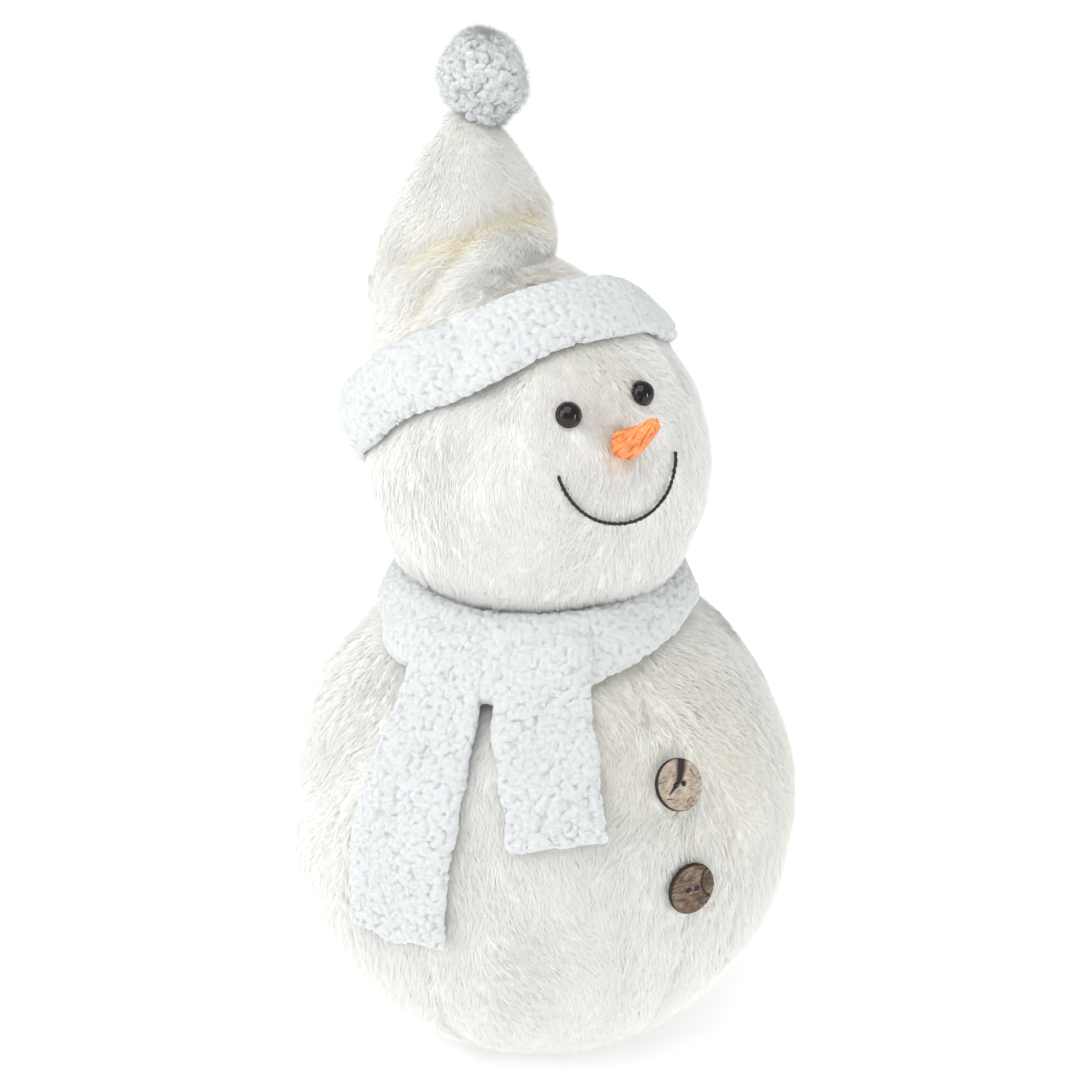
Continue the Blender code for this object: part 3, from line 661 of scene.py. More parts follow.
# The pink round the nose is a painted reflection of the orange nose.
NOSE_REFLECTION_AT, NOSE_REFLECTION_WIDTH, NOSE_REFLECTION_SHARE = 0.0045, 0.0050, 0.9    # distance from the nose, fade, share of strands
HEAD_FULLNESS = (               # degrees up, and how far the cloth stands over the ball there
    (-90, 0), (-74, 0.0002), (-65, 0.0010), (-60, 0.0032), (-55, 0.0056), (-50, 0.0075), (-44, 0.0088),
    (-38, 0.0088), (-32, 0.0066), (-26, 0.0050), (-18, 0.0038), (-8, 0.0024), (2, 0.0004), (12, 0), (90, 0))
HEAD_DENTS = (                  # spot, height and width of the pucker, the muzzle and the two eye sockets
    ((-39.9, 28.5), -0.0016, 0.005), ((0, 10), 0.0008, 0.022),
    (EYE_SPOTS["left"], -0.0014, 0.009), (EYE_SPOTS["right"], -0.0014, 0.009))
HAT_PRESS = 0.0046


def hat_press(out):
    """How far the tight hat presses the head in: nowhere near the face, and fully at its sides."""
    off = np.abs(rounds_of(out))
    share = np.clip((off - 24) / 26, 0, 1)
    return HAT_PRESS * share * share * (3 - 2 * share)


def head_surface(out):
    """The stuffed head's skin, for directions in the face's frame. It is fullest low down, over the body."""
    r = HEAD_SKIN_R - 0.0004 + 0.0005 * waves(out, 0.8, 41) + 0.0002 * waves(out, 0.35, 42)
    up = np.degrees(np.arcsin(np.clip((out @ FACE.T)[..., 2], -1, 1)))
    r = r + np.interp(up, *zip(*HEAD_FULLNESS)) - hat_press(out) * np.clip(up / 34, 0, 1)
    for spot, height, width in HEAD_DENTS:
        r = r + height * bell(reach_to(out, spot, HEAD_SKIN_R), width)
    return from_face(out * r[..., None])


def mouth_points(count, surface):
    a = np.radians(np.linspace(MOUTH_FROM, MOUTH_TO, count))
    x, z = MOUTH_R * np.cos(a), MOUTH_CENTRE_Z + MOUTH_R * np.sin(a)
    return np.stack([x, -np.sqrt(surface ** 2 - x * x - z * z), z], -1)


def head(finish, tones, nose_reflection):
    ball = skin("head_skin", head_surface(sphere_rings(120, 200)), finish)
    fit(ball, "head", "fur_panels", *["head_panel_" + side for side in HEAD_SIDES])

    rng = np.random.default_rng(SEED + 1)
    out = unit(spiral(HEAD_TUFTS) + rng.normal(0, 0.008, (HEAD_TUFTS, 3)))
    along_hat = out[:, 2] * math.cos(HAT_TILT) + out[:, 1] * math.sin(HAT_TILT)
    keep = (out[:, 2] > -0.93) & (along_hat * HEAD_R < HAIRLINE)
    for spot in EYE_SPOTS.values():
        keep &= reach_to(out, (spot[0] + 0.8, spot[1] - 0.6), HEAD_R) > EYE_R - 0.0010
    nose_gap = reach_to(out, (0, NOSE_UP), HEAD_R)
    keep &= nose_gap > NOSE_CLEAR
    lips = unit(mouth_points(80, HEAD_R))
    lip_gap = np.min(np.linalg.norm(out[:, None] - lips[None], axis=2), axis=1) * HEAD_R
    keep &= lip_gap > LIP_CLEAR
    out, nose_gap = out[keep], nose_gap[keep]
    swirl = 0.35 * waves(out, 0.8, 51) + 0.25 * waves(out, 0.3, 52)
    normal = out @ FACE.T
    strands = grow(head_surface(out), normal, combed_down(normal, swirl), HEAD_FUR, rng)
    level = 0.76 + 0.08 * waves(out, 0.6, 53) + 0.07 * waves(out, 0.12, 54)
    # Painted shade: darker, yellower fur on the brow under the hat's cuff.
    level -= 0.40 * painted_shade_share(out, direction(-8, 42), 0.38)
    tone = strand_tones(level, HEAD_FUR, len(tones), rng)
    # Painted reflection: strands near the nose take the pink tones.
    chance = bell(nose_gap - NOSE_REFLECTION_AT, NOSE_REFLECTION_WIDTH)[:, None]
    nose_reflection_strands = rng.uniform(size=tone.shape) < chance * NOSE_REFLECTION_SHARE
    tone[nose_reflection_strands] = len(tones) + rng.integers(0, len(nose_reflection), nose_reflection_strands.sum())
    width = rng.uniform(*HEAD_FUR["width"], tone.shape)
    quarter = np.floor(((rounds_of(out) + 45) % 360) / 90).astype(int)
    names = ["head_pile_" + side for side in HEAD_SIDES]
    for pile in split_pile(names, quarter, strands, tone, tones + nose_reflection, width):
        fit(pile, "head", "fur_panels")


# ---------------- face

def frame_on_ball(centre, out):
    """Origin and axes (right, up, out) of a spot on a ball, all in the shared frame."""
    right = unit(np.cross((0, 0, 1.0), out))
    return centre, np.stack([right, np.cross(out, right), out])


def turned_rings(profile, cols):
    """Rings of a (radius, height) profile about Z, bottom first."""
    a = turns(cols)[None]
    r, z = profile[:, :1], profile[:, 1:]
    return np.stack([r * np.cos(a), r * np.sin(a), z + 0 * a], -1)


def on_spot(rings, spot):
    centre, axes = spot
    return centre + rings @ axes


def eyes(gloss, rim):
    """Domed safety eyes, each on its thin brown collar."""
    for name, place in EYE_SPOTS.items():
        out = direction(*place) @ FACE.T
        spot = frame_on_ball(HEAD_CENTRE + out * (HEAD_R + 0.0006), out)
        a = np.linspace(0, math.pi / 2, 22)[:-1]
        dome = np.stack([EYE_R * np.cos(a), EYE_HEIGHT * np.sin(a) ** 0.92], -1)
        dome = np.concatenate([[(EYE_R * 0.9, -0.0009), (EYE_R * 0.985, -0.0007)], dome])
        ball = skin("eye_dome_" + name, on_spot(turned_rings(dome, 48), spot), gloss)
        a = turns(14)
        collar = np.stack([EYE_R - 0.00005 + 0.00034 * np.sin(a), 0.0003 + 0.0003 * np.cos(a)], -1)
        ring = skin("eye_collar_" + name, on_spot(ring_round(collar, 56), spot), rim, wrap_rows=True)
        fit(ball, "head", "eye_black", "eye_" + name)
        fit(ring, "head", "eye_black")


def nose(finish):
    """A carved carrot that curves up to a blunt, slanted tip."""
    out, lift = direction(0, NOSE_UP), direction(0, NOSE_UP + 90)
    t = np.linspace(0, 1, 74)[:, None]
    reach = NOSE_LENGTH * 0.89 * t - 0.0012
    centre = out * (HEAD_R + reach) + lift * NOSE_LENGTH * 0.29 * t ** 1.6 + np.array((0.0012, 0, 0))
    width = np.interp(t[:, 0], np.linspace(0, 1, 9),
                      (0.0054, 0.0066, 0.0064, 0.0058, 0.0052, 0.0046, 0.0040, 0.0033, 0.0025))
    width = width * np.clip(1 - ((t[:, 0] - 0.97) / 0.03).clip(0, 1) ** 2 * 0.5, 0, 1)
    forward = unit(np.gradient(centre, axis=0))
    side = np.array((1.0, 0, 0))
    over = unit(np.cross(side, forward))
    a = turns(72)[None]
    twist = a + 0.5 * t
    facets = 0.00028 * np.sin(5 * twist + 1.0) + 0.00020 * np.sin(9 * twist + 2 * t)
    groove = np.abs(np.sin(6.5 * twist + 3.0 * t + 0.6 * np.sin(9 * t)))
    groove = bell(groove, 0.30) * (0.5 + 0.5 * np.sin(14 * t + 3 * np.floor(6.5 * twist / math.pi)))
    rings_across = bell(np.sin(20 * t + 1.5 * np.sin(2 * a)), 0.22) * 0.35
    carve = np.clip(groove + rings_across * np.clip(0.5 + np.sin(3 * a + 8 * t), 0, 1), 0, 1)
    r = width[:, None] + facets - 0.00055 * carve
    around = np.sin(a)[..., None] * side + np.cos(a)[..., None] * over[:, None]
    rings = centre[:, None] + r[..., None] * around
    rings = rings[:, ::-1]
    obj = skin("carrot_nose", from_face(rings), finish)
    set_attribute(obj, "carve", carve[:, ::-1].reshape(-1))
    fit(obj, "head", "carrot", "nose")


def tube_rings(points, radius, cols, wobble=0.0, seed=0):
    """Rings of a round thread along points, slightly uneven."""
    forward = unit(np.gradient(points, axis=0))
    side = unit(np.cross(forward, (0.0, 0.3, 1.0)))
    over = np.cross(forward, side)
    a = turns(cols)
    ring = side[:, None] * np.cos(a)[None, :, None] + over[:, None] * np.sin(a)[None, :, None]
    rough = 1 + wobble * waves(points[:, None] + 0.002 * ring, 0.0015, seed)
    return points[:, None] + ring * (radius * rough)[..., None]


def fuzz(points, normals, count, length, width, seed, lean=0.9):
    """Short loose fibres that start at random on the given points."""
    rng = np.random.default_rng(seed)
    pick = rng.integers(0, len(points), count)
    root, up = points[pick], normals[pick]
    heading = unit(up + lean * rng.normal(size=(count, 3)))
    tip = root + heading * length * rng.uniform(0.5, 1.2, (count, 1))
    return needle_arrays(root - up * 0.0002, tip, up, width * rng.uniform(0.7, 1.3, count))


def joined(*parts):
    """Vertices and faces of several parts in one."""
    verts, faces, offset = [], [], 0
    for part_verts, part_faces in parts:
        verts.append(part_verts)
        faces += [f + offset for f in part_faces]
        offset += len(part_verts)
    return np.concatenate(verts), faces


def mouth(finish):
    """The stitched smile: one dark thread lying in the pile, with its loose fibres."""
    out = unit(mouth_points(220, HEAD_R))
    lift = 0.0028 - 0.0008 * np.abs(np.linspace(-1, 1, len(out)))[:, None] ** 8
    path = head_surface(out) + out @ FACE.T * lift
    stitch = 1 - 0.28 * np.abs(np.cos(np.linspace(0, MOUTH_STITCHES * math.pi, len(path))))[:, None] ** 6
    rings = path[:, None] + (tube_rings(path, 0.00078, 10, 0.2, 61) - path[:, None]) * stitch[..., None]
    away = unit(rings.reshape(-1, 3) - np.repeat(path, 10, 0))
    fibres = fuzz(rings.reshape(-1, 3), away, 500, 0.0011, 0.00005, 62)
    verts, faces = joined(skin_arrays(rings), fibres)
    smile = mesh_object("smile_thread", verts, faces, [finish])
    fit(smile, "head", "black_thread", "mouth_thread")


# ---------------- buttons

def shell_finish(which):
    """Coconut shell: fibrous mottled face, dark outer skin of the shell where it was left, cracks, a dark
    rim, and painted shade in the thread holes.
    """
    finish = Finish("coconut_" + which, 0.55, Specular_IOR_Level=0.35)
    grain = finish.noise(900.0, 5.0, 0.7, finish.stretched((0.35, 1.0, 1.0)))
    patch = finish.noise(160.0, 3.0, 0.6)
    mottle = finish.math("ADD", finish.math("MULTIPLY", grain, 0.6), finish.math("MULTIPLY", patch, 0.4))
    if which == "upper":
        base = finish.ramp(mottle, (0.34, (0.10, 0.065, 0.045)), (0.44, (0.30, 0.235, 0.175)),
                           (0.58, (0.50, 0.42, 0.335)), (0.72, (0.63, 0.55, 0.46)))
    else:
        base = finish.ramp(mottle, (0.38, (0.030, 0.018, 0.012)), (0.48, (0.11, 0.068, 0.043)),
                           (0.59, (0.24, 0.170, 0.118)), (0.72, (0.46, 0.35, 0.25)))
    # Near-black on the dark marks, the rim and, as painted shade, in the thread holes.
    marked = finish.mix(finish.attribute("bark_and_hole_shade"), base, (0.016, 0.009, 0.006))
    finish.colour(marked)
    return finish.roughness(grain, 0.42, 0.7).bump(mottle, 0.0005).material


def brush(x, y, points, widths):
    """1 on a stroke through points, its half width given at each, and 0 off it. In metres."""
    mark = np.zeros(x.shape)
    for (x0, y0), (x1, y1), w0, w1 in zip(points, points[1:], widths, widths[1:]):
        dx, dy = x1 - x0, y1 - y0
        t = np.clip(((x - x0) * dx + (y - y0) * dy) / (dx * dx + dy * dy), 0, 1)
        gap = np.hypot(x - x0 - t * dx, y - y0 - t * dy)
        mark = np.maximum(mark, np.clip(1.6 - gap / (w0 + t * (w1 - w0)), 0, 1))
    return mark


def bark_marks(which, x, y):
    """Dark marks on a button's face, x to its right and y up, in metres."""
    rim = (np.hypot(x, y) > BUTTON_R - 0.00045).astype(float)
    if which == "upper":
        marks = brush(x, y, ((0.0034, 0.0100), (0.0022, 0.0060), (0.0002, 0.0018), (-0.0021, 0.0001),
                             (-0.0063, -0.0031)), (0.0023, 0.0021, 0.0013, 0.0009, 0.0002))
        for crack in (((-0.0105, 0.0030), (-0.0060, 0.0028)), ((0.0070, 0.0050), (0.0082, 0.0015)),
                      ((-0.0080, -0.0045), (-0.0050, -0.0052)), ((0.0015, -0.0080), (0.0045, -0.0060))):
            marks = np.maximum(marks, brush(x, y, crack, (0.0002, 0.0001)))
    else:
        marks = np.clip(1.6 - np.abs(np.hypot(x - 0.0135, y - 0.0020) - 0.0088) / 0.0006, 0, 1)
    return np.maximum(marks, rim)


def button(which, finish, thread):
    """A cut disc of shell with two thread holes, on the pile of the front seam."""
    out = direction(0, BUTTON_UP[which])
    spot = frame_on_ball(BODY_CENTRE + out * (BODY_R + 0.0014), out)
    top, soften = BUTTON_THICK, 0.0006
    edge = [(BUTTON_R - soften, 0), (BUTTON_R - 0.0001, 0.0004), (BUTTON_R, 0.0010), (BUTTON_R, top - 0.0009),
            (BUTTON_R - 0.0002, top - 0.0003), (BUTTON_R - soften, top)]
    face = [(r, top - 0.00035 * min(1, (BUTTON_R - soften - r) / 0.0016)) for r in
            np.linspace(BUTTON_R - soften, 0.00012, 84)[1:]]
    profile = np.array([(0.0002, 0), (0.004, 0)] + edge + face)
    rings = turned_rings(profile, 168)
    x, y = rings[..., 0], rings[..., 1]
    upper = (np.arange(len(profile)) > 4)[:, None]
    marks = bark_marks(which, x, y)
    holes = np.zeros(x.shape)
    for side in (-1, 1):
        holes = np.maximum(holes, np.clip((0.00135 - np.hypot(x - side * HOLE_OFF, y)) / 0.0003, 0, 1))
    relief = 0.00010 * waves(rings, 0.0016, 71) - 0.00022 * marks - 0.0016 * holes
    rings[..., 2] += relief * upper
    plate = skin("shell_button_" + which, on_spot(rings, spot), finish)
    # Painted shade: the thread holes are coloured near-black along with the marks.
    set_attribute(plate, "bark_and_hole_shade", np.maximum(marks, holes).reshape(-1))
    fit(plate, "root", "button_" + which, "button_" + which)
    parts = []
    for side in (-1, 1):
        along = np.linspace(0.0002, top - 0.0008, 24)
        path = np.stack([np.full(24, side * HOLE_OFF), np.zeros(24), along], -1)
        parts.append(skin_arrays(on_spot(tube_rings(path, 0.00095, 20, 0.25, 72), spot)))
    verts, faces = joined(*parts)
    stitch = mesh_object("button_stitch_" + which, verts, faces, [thread])
    fit(stitch, "root", "navy_thread", "button_thread_" + which)


# ---------------- sherpa

SHERPA_CELL = 0.0031
SHERPA_HEIGHT = 0.0022
TAIL_HALF_THICK = 0.0034


def sherpa_piece(name, rings, material, body_name, fibres, wrap_rows=False, seed=0, sink=0.55,
                 cell=SHERPA_CELL, height=SHERPA_HEIGHT, fibre=0.0015):
    """Pile side of a sherpa band: a skin raised into curled tufts, with loose fibres on it."""
    normals = ring_normals(rings, wrap_rows)
    high = popcorn(rings, cell, seed)
    tops = rings + normals * ((high - sink) * height)[..., None]
    flat = tops.reshape(-1, 3)
    verts, faces = joined(skin_arrays(tops, wrap_rows),
                          fuzz(flat, normals.reshape(-1, 3), fibres, fibre, 0.00007, seed + 5))
    obj = mesh_object(name, verts, faces, [material])
    poles = 0 if wrap_rows else 2
    loose = len(verts) - len(flat) - poles
    # The curl height also sets the painted shade in the hollows; the loose fibres get none of it.
    values = np.concatenate([high.reshape(-1), np.full(poles, 0.5), np.full(loose, 0.9)])
    set_attribute(obj, "curl_height", np.clip(values * 1.5 - 0.15, 0, 1))
    if body_name:
        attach(obj, body_name)
    return obj


def inward(rings, wrap_rows, depth):
    return rings - ring_normals(rings, wrap_rows) * depth


def cuff_rings(profile, count):
    """The cuff's rings: it hugs the head on one side and stands off it on the other."""
    rings = ring_round(profile, count)
    shrink = 1 - CUFF_TAKE_IN / np.hypot(rings[..., 0], rings[..., 1])
    across = rings[..., :2] * shrink[..., None] + np.array(CUFF_SHIFT)
    inside = HEAD_R + profile[None, :, 2] - hat_press(rings)
    least = np.sqrt(inside ** 2 - rings[..., 2] ** 2)
    grow_by = np.maximum(1, least / np.linalg.norm(across, axis=-1))
    return np.concatenate([across * grow_by[..., None], rings[..., 2:]], -1)


def cuff(material):
    """Turned-up band of the hat, tilted back round the head."""
    tilt = Matrix.Rotation(CUFF_LEAN, 3, "Y") @ Matrix.Rotation(-HAT_TILT - CUFF_MORE_TILT, 3, "X")
    rings = cuff_rings(smooth_loop(CUFF_PROFILE, 106), 650)
    rings = rings + ring_normals(rings, True) * (0.0009 * waves(rings, 0.04, 81))[..., None]
    rings[..., 2] += 0.0010 * waves(rings, 0.09, 82)
    rings[..., 2] += CUFF_LIFT
    rings = from_face(rings @ np.array(tilt).T)
    lining = skin("cuff_cloth", inward(rings, True, 0.0016)[::4, ::3], material, wrap_rows=True)
    pile = sherpa_piece("cuff_pile", rings, material, "head", 14000, wrap_rows=True, seed=83)
    fit(lining, "head", "sherpa", "hat_cuff")


def wrap_rings(profile, count):
    """The neck band's rings: wide where its ends cross, and narrow elsewhere."""
    a = turns(count)[:, None]
    off = (np.degrees(np.arctan2(np.cos(a), -np.sin(a))) - WRAP_FULL_ROUND + 180) % 360 - 180
    share = between((WRAP_NARROW, WRAP_WIDE), bell(off, WRAP_FULL_SPAN))
    r, z = profile[None, :, 0], profile[None, :, 1]
    inner = math.atan2(*WRAP_PROFILE[0])
    polar = inner + (np.arctan2(r, z) - inner) * share
    d = np.hypot(r, z)
    return np.stack([d * np.sin(polar) * np.cos(a), d * np.sin(polar) * np.sin(a), d * np.cos(polar)], -1)


def scarf_band(material):
    rings = wrap_rings(smooth_loop(WRAP_PROFILE, 106), 600)
    rings = rings + ring_normals(rings, True) * (0.0010 * waves(rings, 0.04, 91))[..., None]
    rings = rings + BODY_CENTRE
    band = skin("scarf_band_cloth", inward(rings, True, 0.0022)[::4, ::3], material, wrap_rows=True)
    pile = sherpa_piece("scarf_band_pile", rings, material, "root", 12000, wrap_rows=True, seed=92)
    fit(band, "root", "sherpa", "scarf_wrap")


def tail_line(spec, rows):
    """Radius, height, round angle and half width along the middle of a hanging end, from its top."""
    down = np.linspace(0, 1, 60)
    up = np.radians(between(spec["up"], down))
    middle_r = SCARF_R + TAIL_HALF_THICK + 0.0002
    radius = middle_r * np.where(up > 0, np.cos(up), 1)
    height = np.where(up > 0, middle_r * np.sin(up), SCARF_R * up)
    below = down > 0.18
    top = np.array(spec["top"])
    line = np.concatenate([top, np.stack([radius, height], -1)[below]])
    hang = np.concatenate([np.zeros(len(top)), down[below]])
    run = run_along(line)
    fine = resampled(np.column_stack([line, hang]), run, np.linspace(0, run[-1], rows * 3))
    kernel = np.ones(31) / 31
    ends = np.concatenate([np.repeat(fine[:1], 15, 0), fine, np.repeat(fine[-1:], 15, 0)])
    eased = np.stack([np.convolve(ends[:, i], kernel, "valid") for i in range(3)], -1)
    return eased[np.linspace(0, len(eased) - 1, rows).astype(int)]


def tail_rings(spec, rows, cols):
    """Rings round a hanging end's thickness, from where it leaves the neck down to its cut edge."""
    line = tail_line(spec, rows)
    radius, height, hang = line.T
    run = run_along(line[:, :2])
    from_end = np.minimum(run[-1] - run, run + 0.001)
    full = np.sqrt(np.clip(1 - (1 - np.clip(from_end / 0.0035, 0, 1)) ** 2, 0.02, 1))
    heading = unit(np.gradient(line[:, :2], axis=0))
    out_r, out_z = -heading[:, 1], heading[:, 0]
    middle = np.radians(between(spec["round"], hang))
    half = between(spec["half"], np.minimum(1, 2 * hang))
    a = turns(cols)
    c, s = np.cos(a), np.sin(a)
    across = np.sign(c) * np.abs(c) ** 0.35
    out = TAIL_HALF_THICK * (np.sign(s) * np.abs(s) ** 0.6) * full[:, None]
    r = radius[:, None] + out * out_r[:, None]
    z = height[:, None] + out * out_z[:, None]
    turn = middle[:, None] + (half - 0.0012 * (1 - full))[:, None] * across / radius[:, None]
    return even_loops(np.stack([r * np.sin(turn), -r * np.cos(turn), z], -1)) + BODY_CENTRE


def even_loops(rings):
    """The same closed loops with their points evenly spaced."""
    closed = np.concatenate([rings, rings[:, :1]], 1)
    steps = np.linalg.norm(np.diff(closed, axis=1), axis=2)
    run = np.concatenate([np.zeros((len(rings), 1)), np.cumsum(steps, 1)], 1)
    cols = rings.shape[1]
    result = np.empty_like(rings)
    for i in range(len(rings)):
        result[i] = resampled(closed[i], run[i], np.arange(cols) * run[i, -1] / cols)
    return result


def scarf_tail(which, rows, cols, fibres, nodes, material):
    """One end of the scarf, from where it leaves the neck down to its cut edge."""
    spec = TAILS[which]
    rings = tail_rings(spec, rows, cols)
    rings = rings + ring_normals(rings, False) * (0.0008 * waves(rings, 0.03, 101))[..., None]
    rings[..., 2] += 0.0012 * waves(rings * (1, 1, 0.2), 0.02, 102) * np.linspace(0, 1, rows)[:, None] ** 4
    pile = sherpa_piece("scarf_end_%s_pile" % which, rings, material, None, fibres, seed=103)
    cloth = skin("scarf_end_%s_cloth" % which, inward(rings, False, 0.0016)[::3, ::3], material)
    for piece in (cloth, pile):
        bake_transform(piece)
    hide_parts(*nodes)


# ---------------- hat

HAT_SINK = 0.0030           # the pile's tips reach the CAD surface this far over the skin
HAT_FUR = {"per_tuft": 18, "spread": 0.0015, "length": 0.0056, "rise": 0.0031, "clump": 0.25, "stray": 14,
           "mixing": 0.7, "width": (0.00010, 0.00017)}
HAT_TUFTS = 5000
HAT_FUR_LEVELS = (0.0450, 0.1390)   # heights over the head's centre between which the hat's pile grows
HAT_FOLDS = (               # (degrees round, height over the head's centre) along it, depth, width
    (((-62, 0.0830), (-44, 0.0887), (-26, 0.0928), (-3, 0.0975), (28, 0.0966)), 0.0042, 0.0085),
    (((-58, 0.0524), (-43, 0.0629), (-32, 0.0764), (-24, 0.0870)), 0.0032, 0.0055),
    (((-12, 0.0485), (3, 0.0510), (18, 0.0545)), 0.0022, 0.0062),
    (((40, 0.0700), (70, 0.0650), (95, 0.0700)), 0.0030, 0.0060),
    (((120, 0.0900), (160, 0.0850), (200, 0.0910)), 0.0040, 0.0075),
    (((215, 0.0700), (245, 0.0780)), 0.0030, 0.0060),
)
HAT_BULGE = (((-30, 0.0600), (0, 0.0730), (25, 0.0800)), 0.0022, 0.0090)


def cone_at(level):
    return [np.interp(level, CONE_STATIONS[:, 2], CONE_STATIONS[:, i]) for i in (0, 1, 3, 4)]


def fold_depth(round_deg, level, fold):
    """How deep a fold dents the cone at each place."""
    path, depth, width = fold
    radius = cone_at(level)[2]
    best = np.full(np.broadcast(round_deg, level).shape, 9.0)
    for (r0, z0), (r1, z1) in zip(path, path[1:]):
        off = np.radians((round_deg - r0 + 180) % 360 - 180) * radius
        dx, dz = np.radians(r1 - r0) * radius, z1 - z0
        t = np.clip((off * dx + (level - z0) * dz) / (dx * dx + dz * dz), 0, 1)
        best = np.minimum(best, np.hypot(off - t * dx, level - z0 - t * dz))
    return depth * bell(best, width)


def hat_dents(round_deg, level):
    return sum(fold_depth(round_deg, level, fold) for fold in HAT_FOLDS)


def hat_surface(round_deg, level):
    """Skin of the hat's cone, with its soft folds, in the face's frame."""
    x, y, radius, tilt = cone_at(level)
    a, tilt = np.radians(round_deg), np.radians(tilt)
    radius = radius - HAT_SINK - hat_dents(round_deg, level) + fold_depth(round_deg, level, HAT_BULGE)
    around = np.stack([np.sin(a), -np.cos(a) * np.cos(tilt), np.cos(a) * np.sin(tilt)], -1)
    centre = np.stack([x + 0 * a, y + 0 * a, level + 0 * a], -1)
    rough = 0.0006 * waves(centre + around * 0.04, 0.04, 111)
    return centre + around * (radius + rough)[..., None]


def hat(finish, tones):
    cols = 220
    level = np.linspace(CONE_STATIONS[0, 2], CONE_STATIONS[-1, 2], 140)[:, None]
    a = np.linspace(0, 360, cols, endpoint=False)[None] + 90
    outer = hat_surface(a + 0 * level, level + 0 * a)
    rim, top = outer[0], unit(np.array(CONE_STATIONS[0, :3]))
    f = np.linspace(0.06, 0.97, 14)[:, None, None]
    reach = np.linalg.norm(rim, axis=1)[:, None]
    dome = unit(top * (1 - f) + rim / reach * f) * (HEAD_R + 0.0005 + (reach - HEAD_R - 0.0005) * f ** 6)
    cone = skin("hat_cone", from_face(np.concatenate([dome, outer])), finish)

    rng = np.random.default_rng(SEED + 2)
    # even cover of the cone: levels drawn in proportion to the radius there
    fine = np.linspace(*HAT_FUR_LEVELS, 400)
    weight = np.cumsum(cone_at(fine)[2] + 0.004)
    i = np.arange(HAT_TUFTS) + 0.5
    at = np.interp(i / HAT_TUFTS, weight / weight[-1], fine) + rng.normal(0, 0.0006, HAT_TUFTS)
    turn = np.degrees(i * math.pi * (3 - math.sqrt(5))) % 360 + rng.normal(0, 1.0, HAT_TUFTS)
    here = hat_surface(turn, at)
    step = 0.0008
    up = unit(hat_surface(turn, at + step) - hat_surface(turn, at - step))
    across = unit(hat_surface(turn + 1, at) - hat_surface(turn - 1, at))
    normal = unit(np.cross(across, up)) @ FACE.T
    swirl = 0.4 * waves(here, 0.05, 121) + 0.25 * waves(here, 0.018, 122)
    strands = grow(from_face(here), normal, combed_down(normal, swirl), HAT_FUR, rng)
    # Painted shade: strands in the folds take the yellower, darker tones.
    dent = hat_dents(turn, at) / 0.005
    level = 0.78 + 0.06 * waves(here, 0.03, 123) - 0.75 * np.clip(dent, 0, 1.0)
    tone = strand_tones(level, HAT_FUR, len(tones), rng)
    width = rng.uniform(*HAT_FUR["width"], tone.shape)
    half = np.where(np.abs((turn % 360) - 180) < 90, 0, 1)
    piles = split_pile(("hat_pile_back", "hat_pile_front"), half, strands, tone, tones, width)
    for piece in (cone, *piles):
        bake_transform(piece)
    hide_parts("hat_crown", "hat_fold", "hat_tip", "hat_fill", "hat_tip_fill")


def pompom(material):
    """Sherpa ball with shaggy tufts."""
    out = sphere_rings(180, 340)
    rings = from_face(POMPOM_CENTRE + out * POMPOM_SIZE * (1 + 0.05 * waves(out, 1.2, 131))[..., None])
    ball = sherpa_piece("pompom_pile", rings, material, "pompom", 15000, seed=132, sink=0.5,
                        cell=0.0033, height=0.0033, fibre=0.0026)
    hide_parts("pompom")


# ---------------- carried-over parts

def dress_inner_parts():
    """Finishes for the CAD parts that stay: stuffing, weight, base, pegs, washers and threads."""
    fibre = grained("polyester_fibre", (0.90, 0.90, 0.89), 350.0, 0.0010, 0.95, Sheen_Weight=0.2)
    felt = grained("base_felt", (0.84, 0.83, 0.77), 1400.0, 0.0003, 0.95, Sheen_Weight=0.2)
    board = grained("grey_board", (0.45, 0.43, 0.40), 700.0, 0.0002)
    pouch = grained("pellet_pouch", (0.72, 0.70, 0.64), 300.0, 0.0012)
    plastic = grained("white_plastic", (0.82, 0.82, 0.80), 1800.0, 0.00003, 0.45)
    wood = grained("peg_wood", (0.66, 0.50, 0.32), 500.0, 0.0001, 0.7)
    thread = thread_finish("white_thread", (0.86, 0.86, 0.83))
    finishes = {
        "body_fill": fibre, "head_fill": fibre, "base_patch": felt, "base_board": board, "weight_bag": pouch,
        "eye_left_washer": plastic, "eye_right_washer": plastic, "nose_washer": plastic, "nose_peg": wood,
        "neck_stitching": thread, "pompom_tie": thread,
    }
    for name, material in finishes.items():
        obj = bpy.data.objects[name]
        obj.data.materials.clear()
        obj.data.materials.append(material)


# ---------------- stage, light and camera

def floor():
    bpy.ops.mesh.primitive_plane_add(size=14.0, location=(0, 0, 0))
    obj = bpy.context.object
    obj.name = "floor"
    finish = Finish("pale_floor", 0.9, Specular_IOR_Level=0.1, Emission_Strength=0.40,
                    Emission_Color=(1, 1, 1, 1))
    finish.colour(finish.ramp(finish.noise(3.0, 2.0), (0.3, (0.93, 0.93, 0.93)), (0.7, (0.95, 0.95, 0.95))))
    obj.data.materials.append(finish.material)


def area_light(name, azimuth, elevation, distance, size, energy):
    """A soft box of light, its width and height given, that looks at the middle of the snowman."""
    target = Vector((0, 0, 0.24))
    data = bpy.data.lights.new(name, "AREA")
    data.shape = "RECTANGLE"
    data.size, data.size_y = size
    data.energy = energy
    obj = bpy.data.objects.new(name, data)
    obj.location = target + Vector(direction(azimuth, elevation)) * distance
    obj.rotation_euler = (obj.location - target).to_track_quat("Z", "Y").to_euler()
    bpy.context.scene.collection.objects.link(obj)


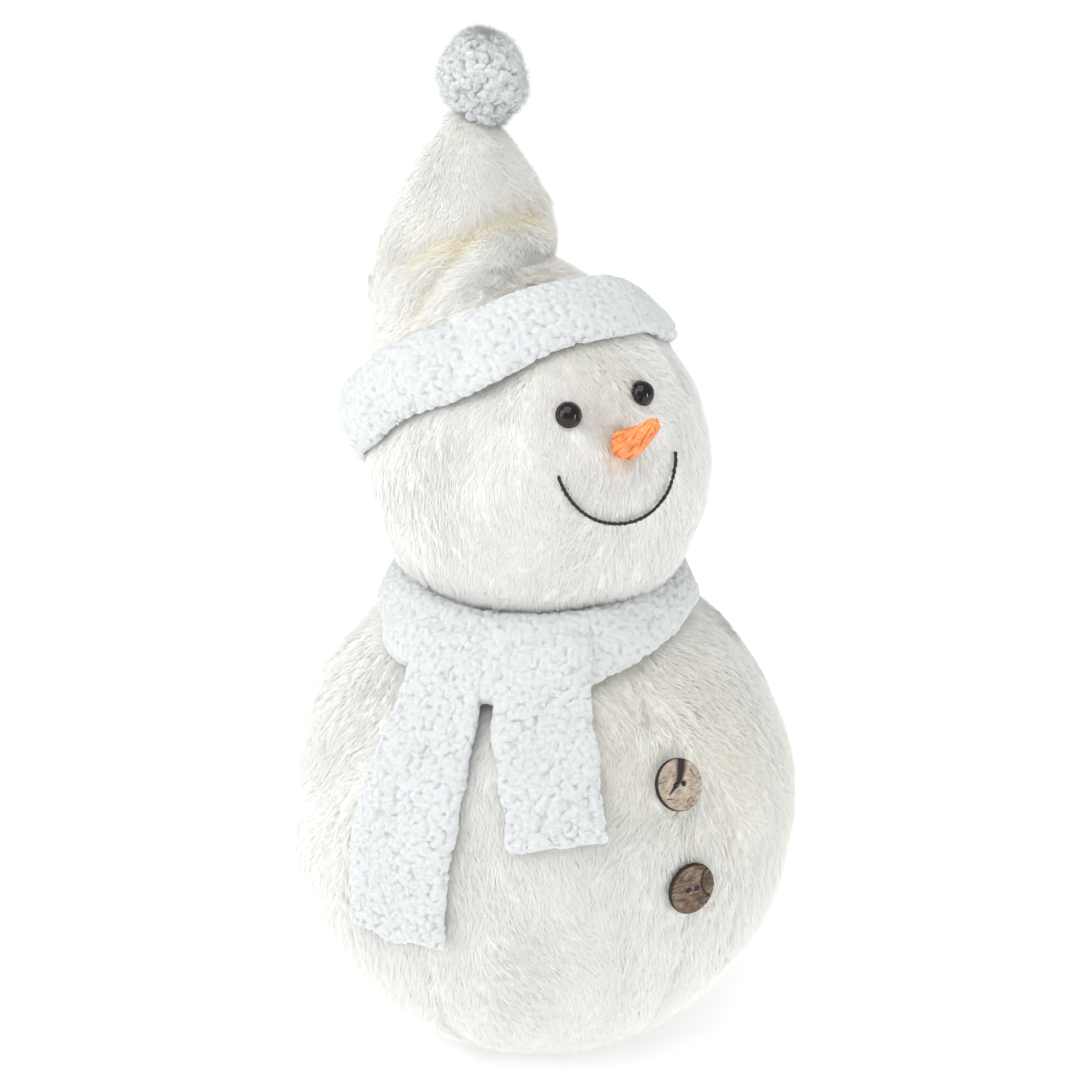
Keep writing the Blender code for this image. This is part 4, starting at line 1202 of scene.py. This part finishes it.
def studio():
    scene = bpy.context.scene
    world = bpy.data.worlds.new("white_studio")
    world.use_nodes = True
    background = world.node_tree.nodes["Background"]
    background.inputs["Color"].default_value = (0.97, 0.985, 1.0, 1)
    background.inputs["Strength"].default_value = 0.60
    scene.world = world
    # azimuth, elevation, distance, size and power of each light
    area_light("strip_right", 22, 5, 1.2, (0.09, 0.50), 3.2)
    area_light("strip_left", -95, 24, 1.5, (1.0, 1.4), 12.0)
    area_light("overhead", -50, 66, 1.5, (1.4, 1.4), 13.5)
    scene.view_settings.view_transform = "Standard"


def camera():
    back = np.array((-0.5129, -0.7808, 0.3567))
    target = Vector((-0.00026, 0.00017, 0.23695))
    data = bpy.data.cameras.new("camera")
    data.lens = 100
    data.sensor_width = 36
    obj = bpy.data.objects.new("camera", data)
    obj.location = target + Vector(back) * 1.342
    obj.rotation_euler = Vector(back).to_track_quat("Z", "Y").to_euler()
    bpy.context.scene.collection.objects.link(obj)
    bpy.context.scene.camera = obj


def build():
    camera()
    studio()
    floor()
    fur = [strand_finish("fur_tone_%d" % i, c) for i, c in enumerate(FUR_TONES)]
    nose_reflection = [strand_finish("nose_reflection_tone_%d" % i, c) for i, c in enumerate(NOSE_REFLECTION_TONES)]
    hat_fur = [strand_finish("hat_tone_%d" % i, c) for i, c in enumerate(HAT_TONES)]
    sherpa = sherpa_finish()
    body(skin_finish("body_ground", (0.93, 0.92, 0.87), (1.0, 1.0, 0.12)), fur)
    head(skin_finish("head_ground", (0.93, 0.92, 0.88), (1.0, 1.0, 0.12)), fur, nose_reflection)
    eyes(eye_finish(), rim_finish())
    nose(carrot_finish())
    mouth(thread_finish("black_thread", (0.012, 0.012, 0.014)))
    navy = thread_finish("navy_thread", (0.016, 0.017, 0.045))
    for which in BUTTON_UP:
        button(which, shell_finish(which), navy)
    scarf_band(sherpa)
    scarf_tail("long", 240, 150, fibres=7000, nodes=("scarf_tail_long",), material=sherpa)
    scarf_tail("short", 170, 130, fibres=5500, nodes=("scarf_tail_short", "scarf_crossing"), material=sherpa)
    cuff(sherpa)
    hat(skin_finish("hat_ground", (0.94, 0.93, 0.86), (1.0, 1.0, 0.15)), hat_fur)
    pompom(sherpa)
    dress_inner_parts()


build()
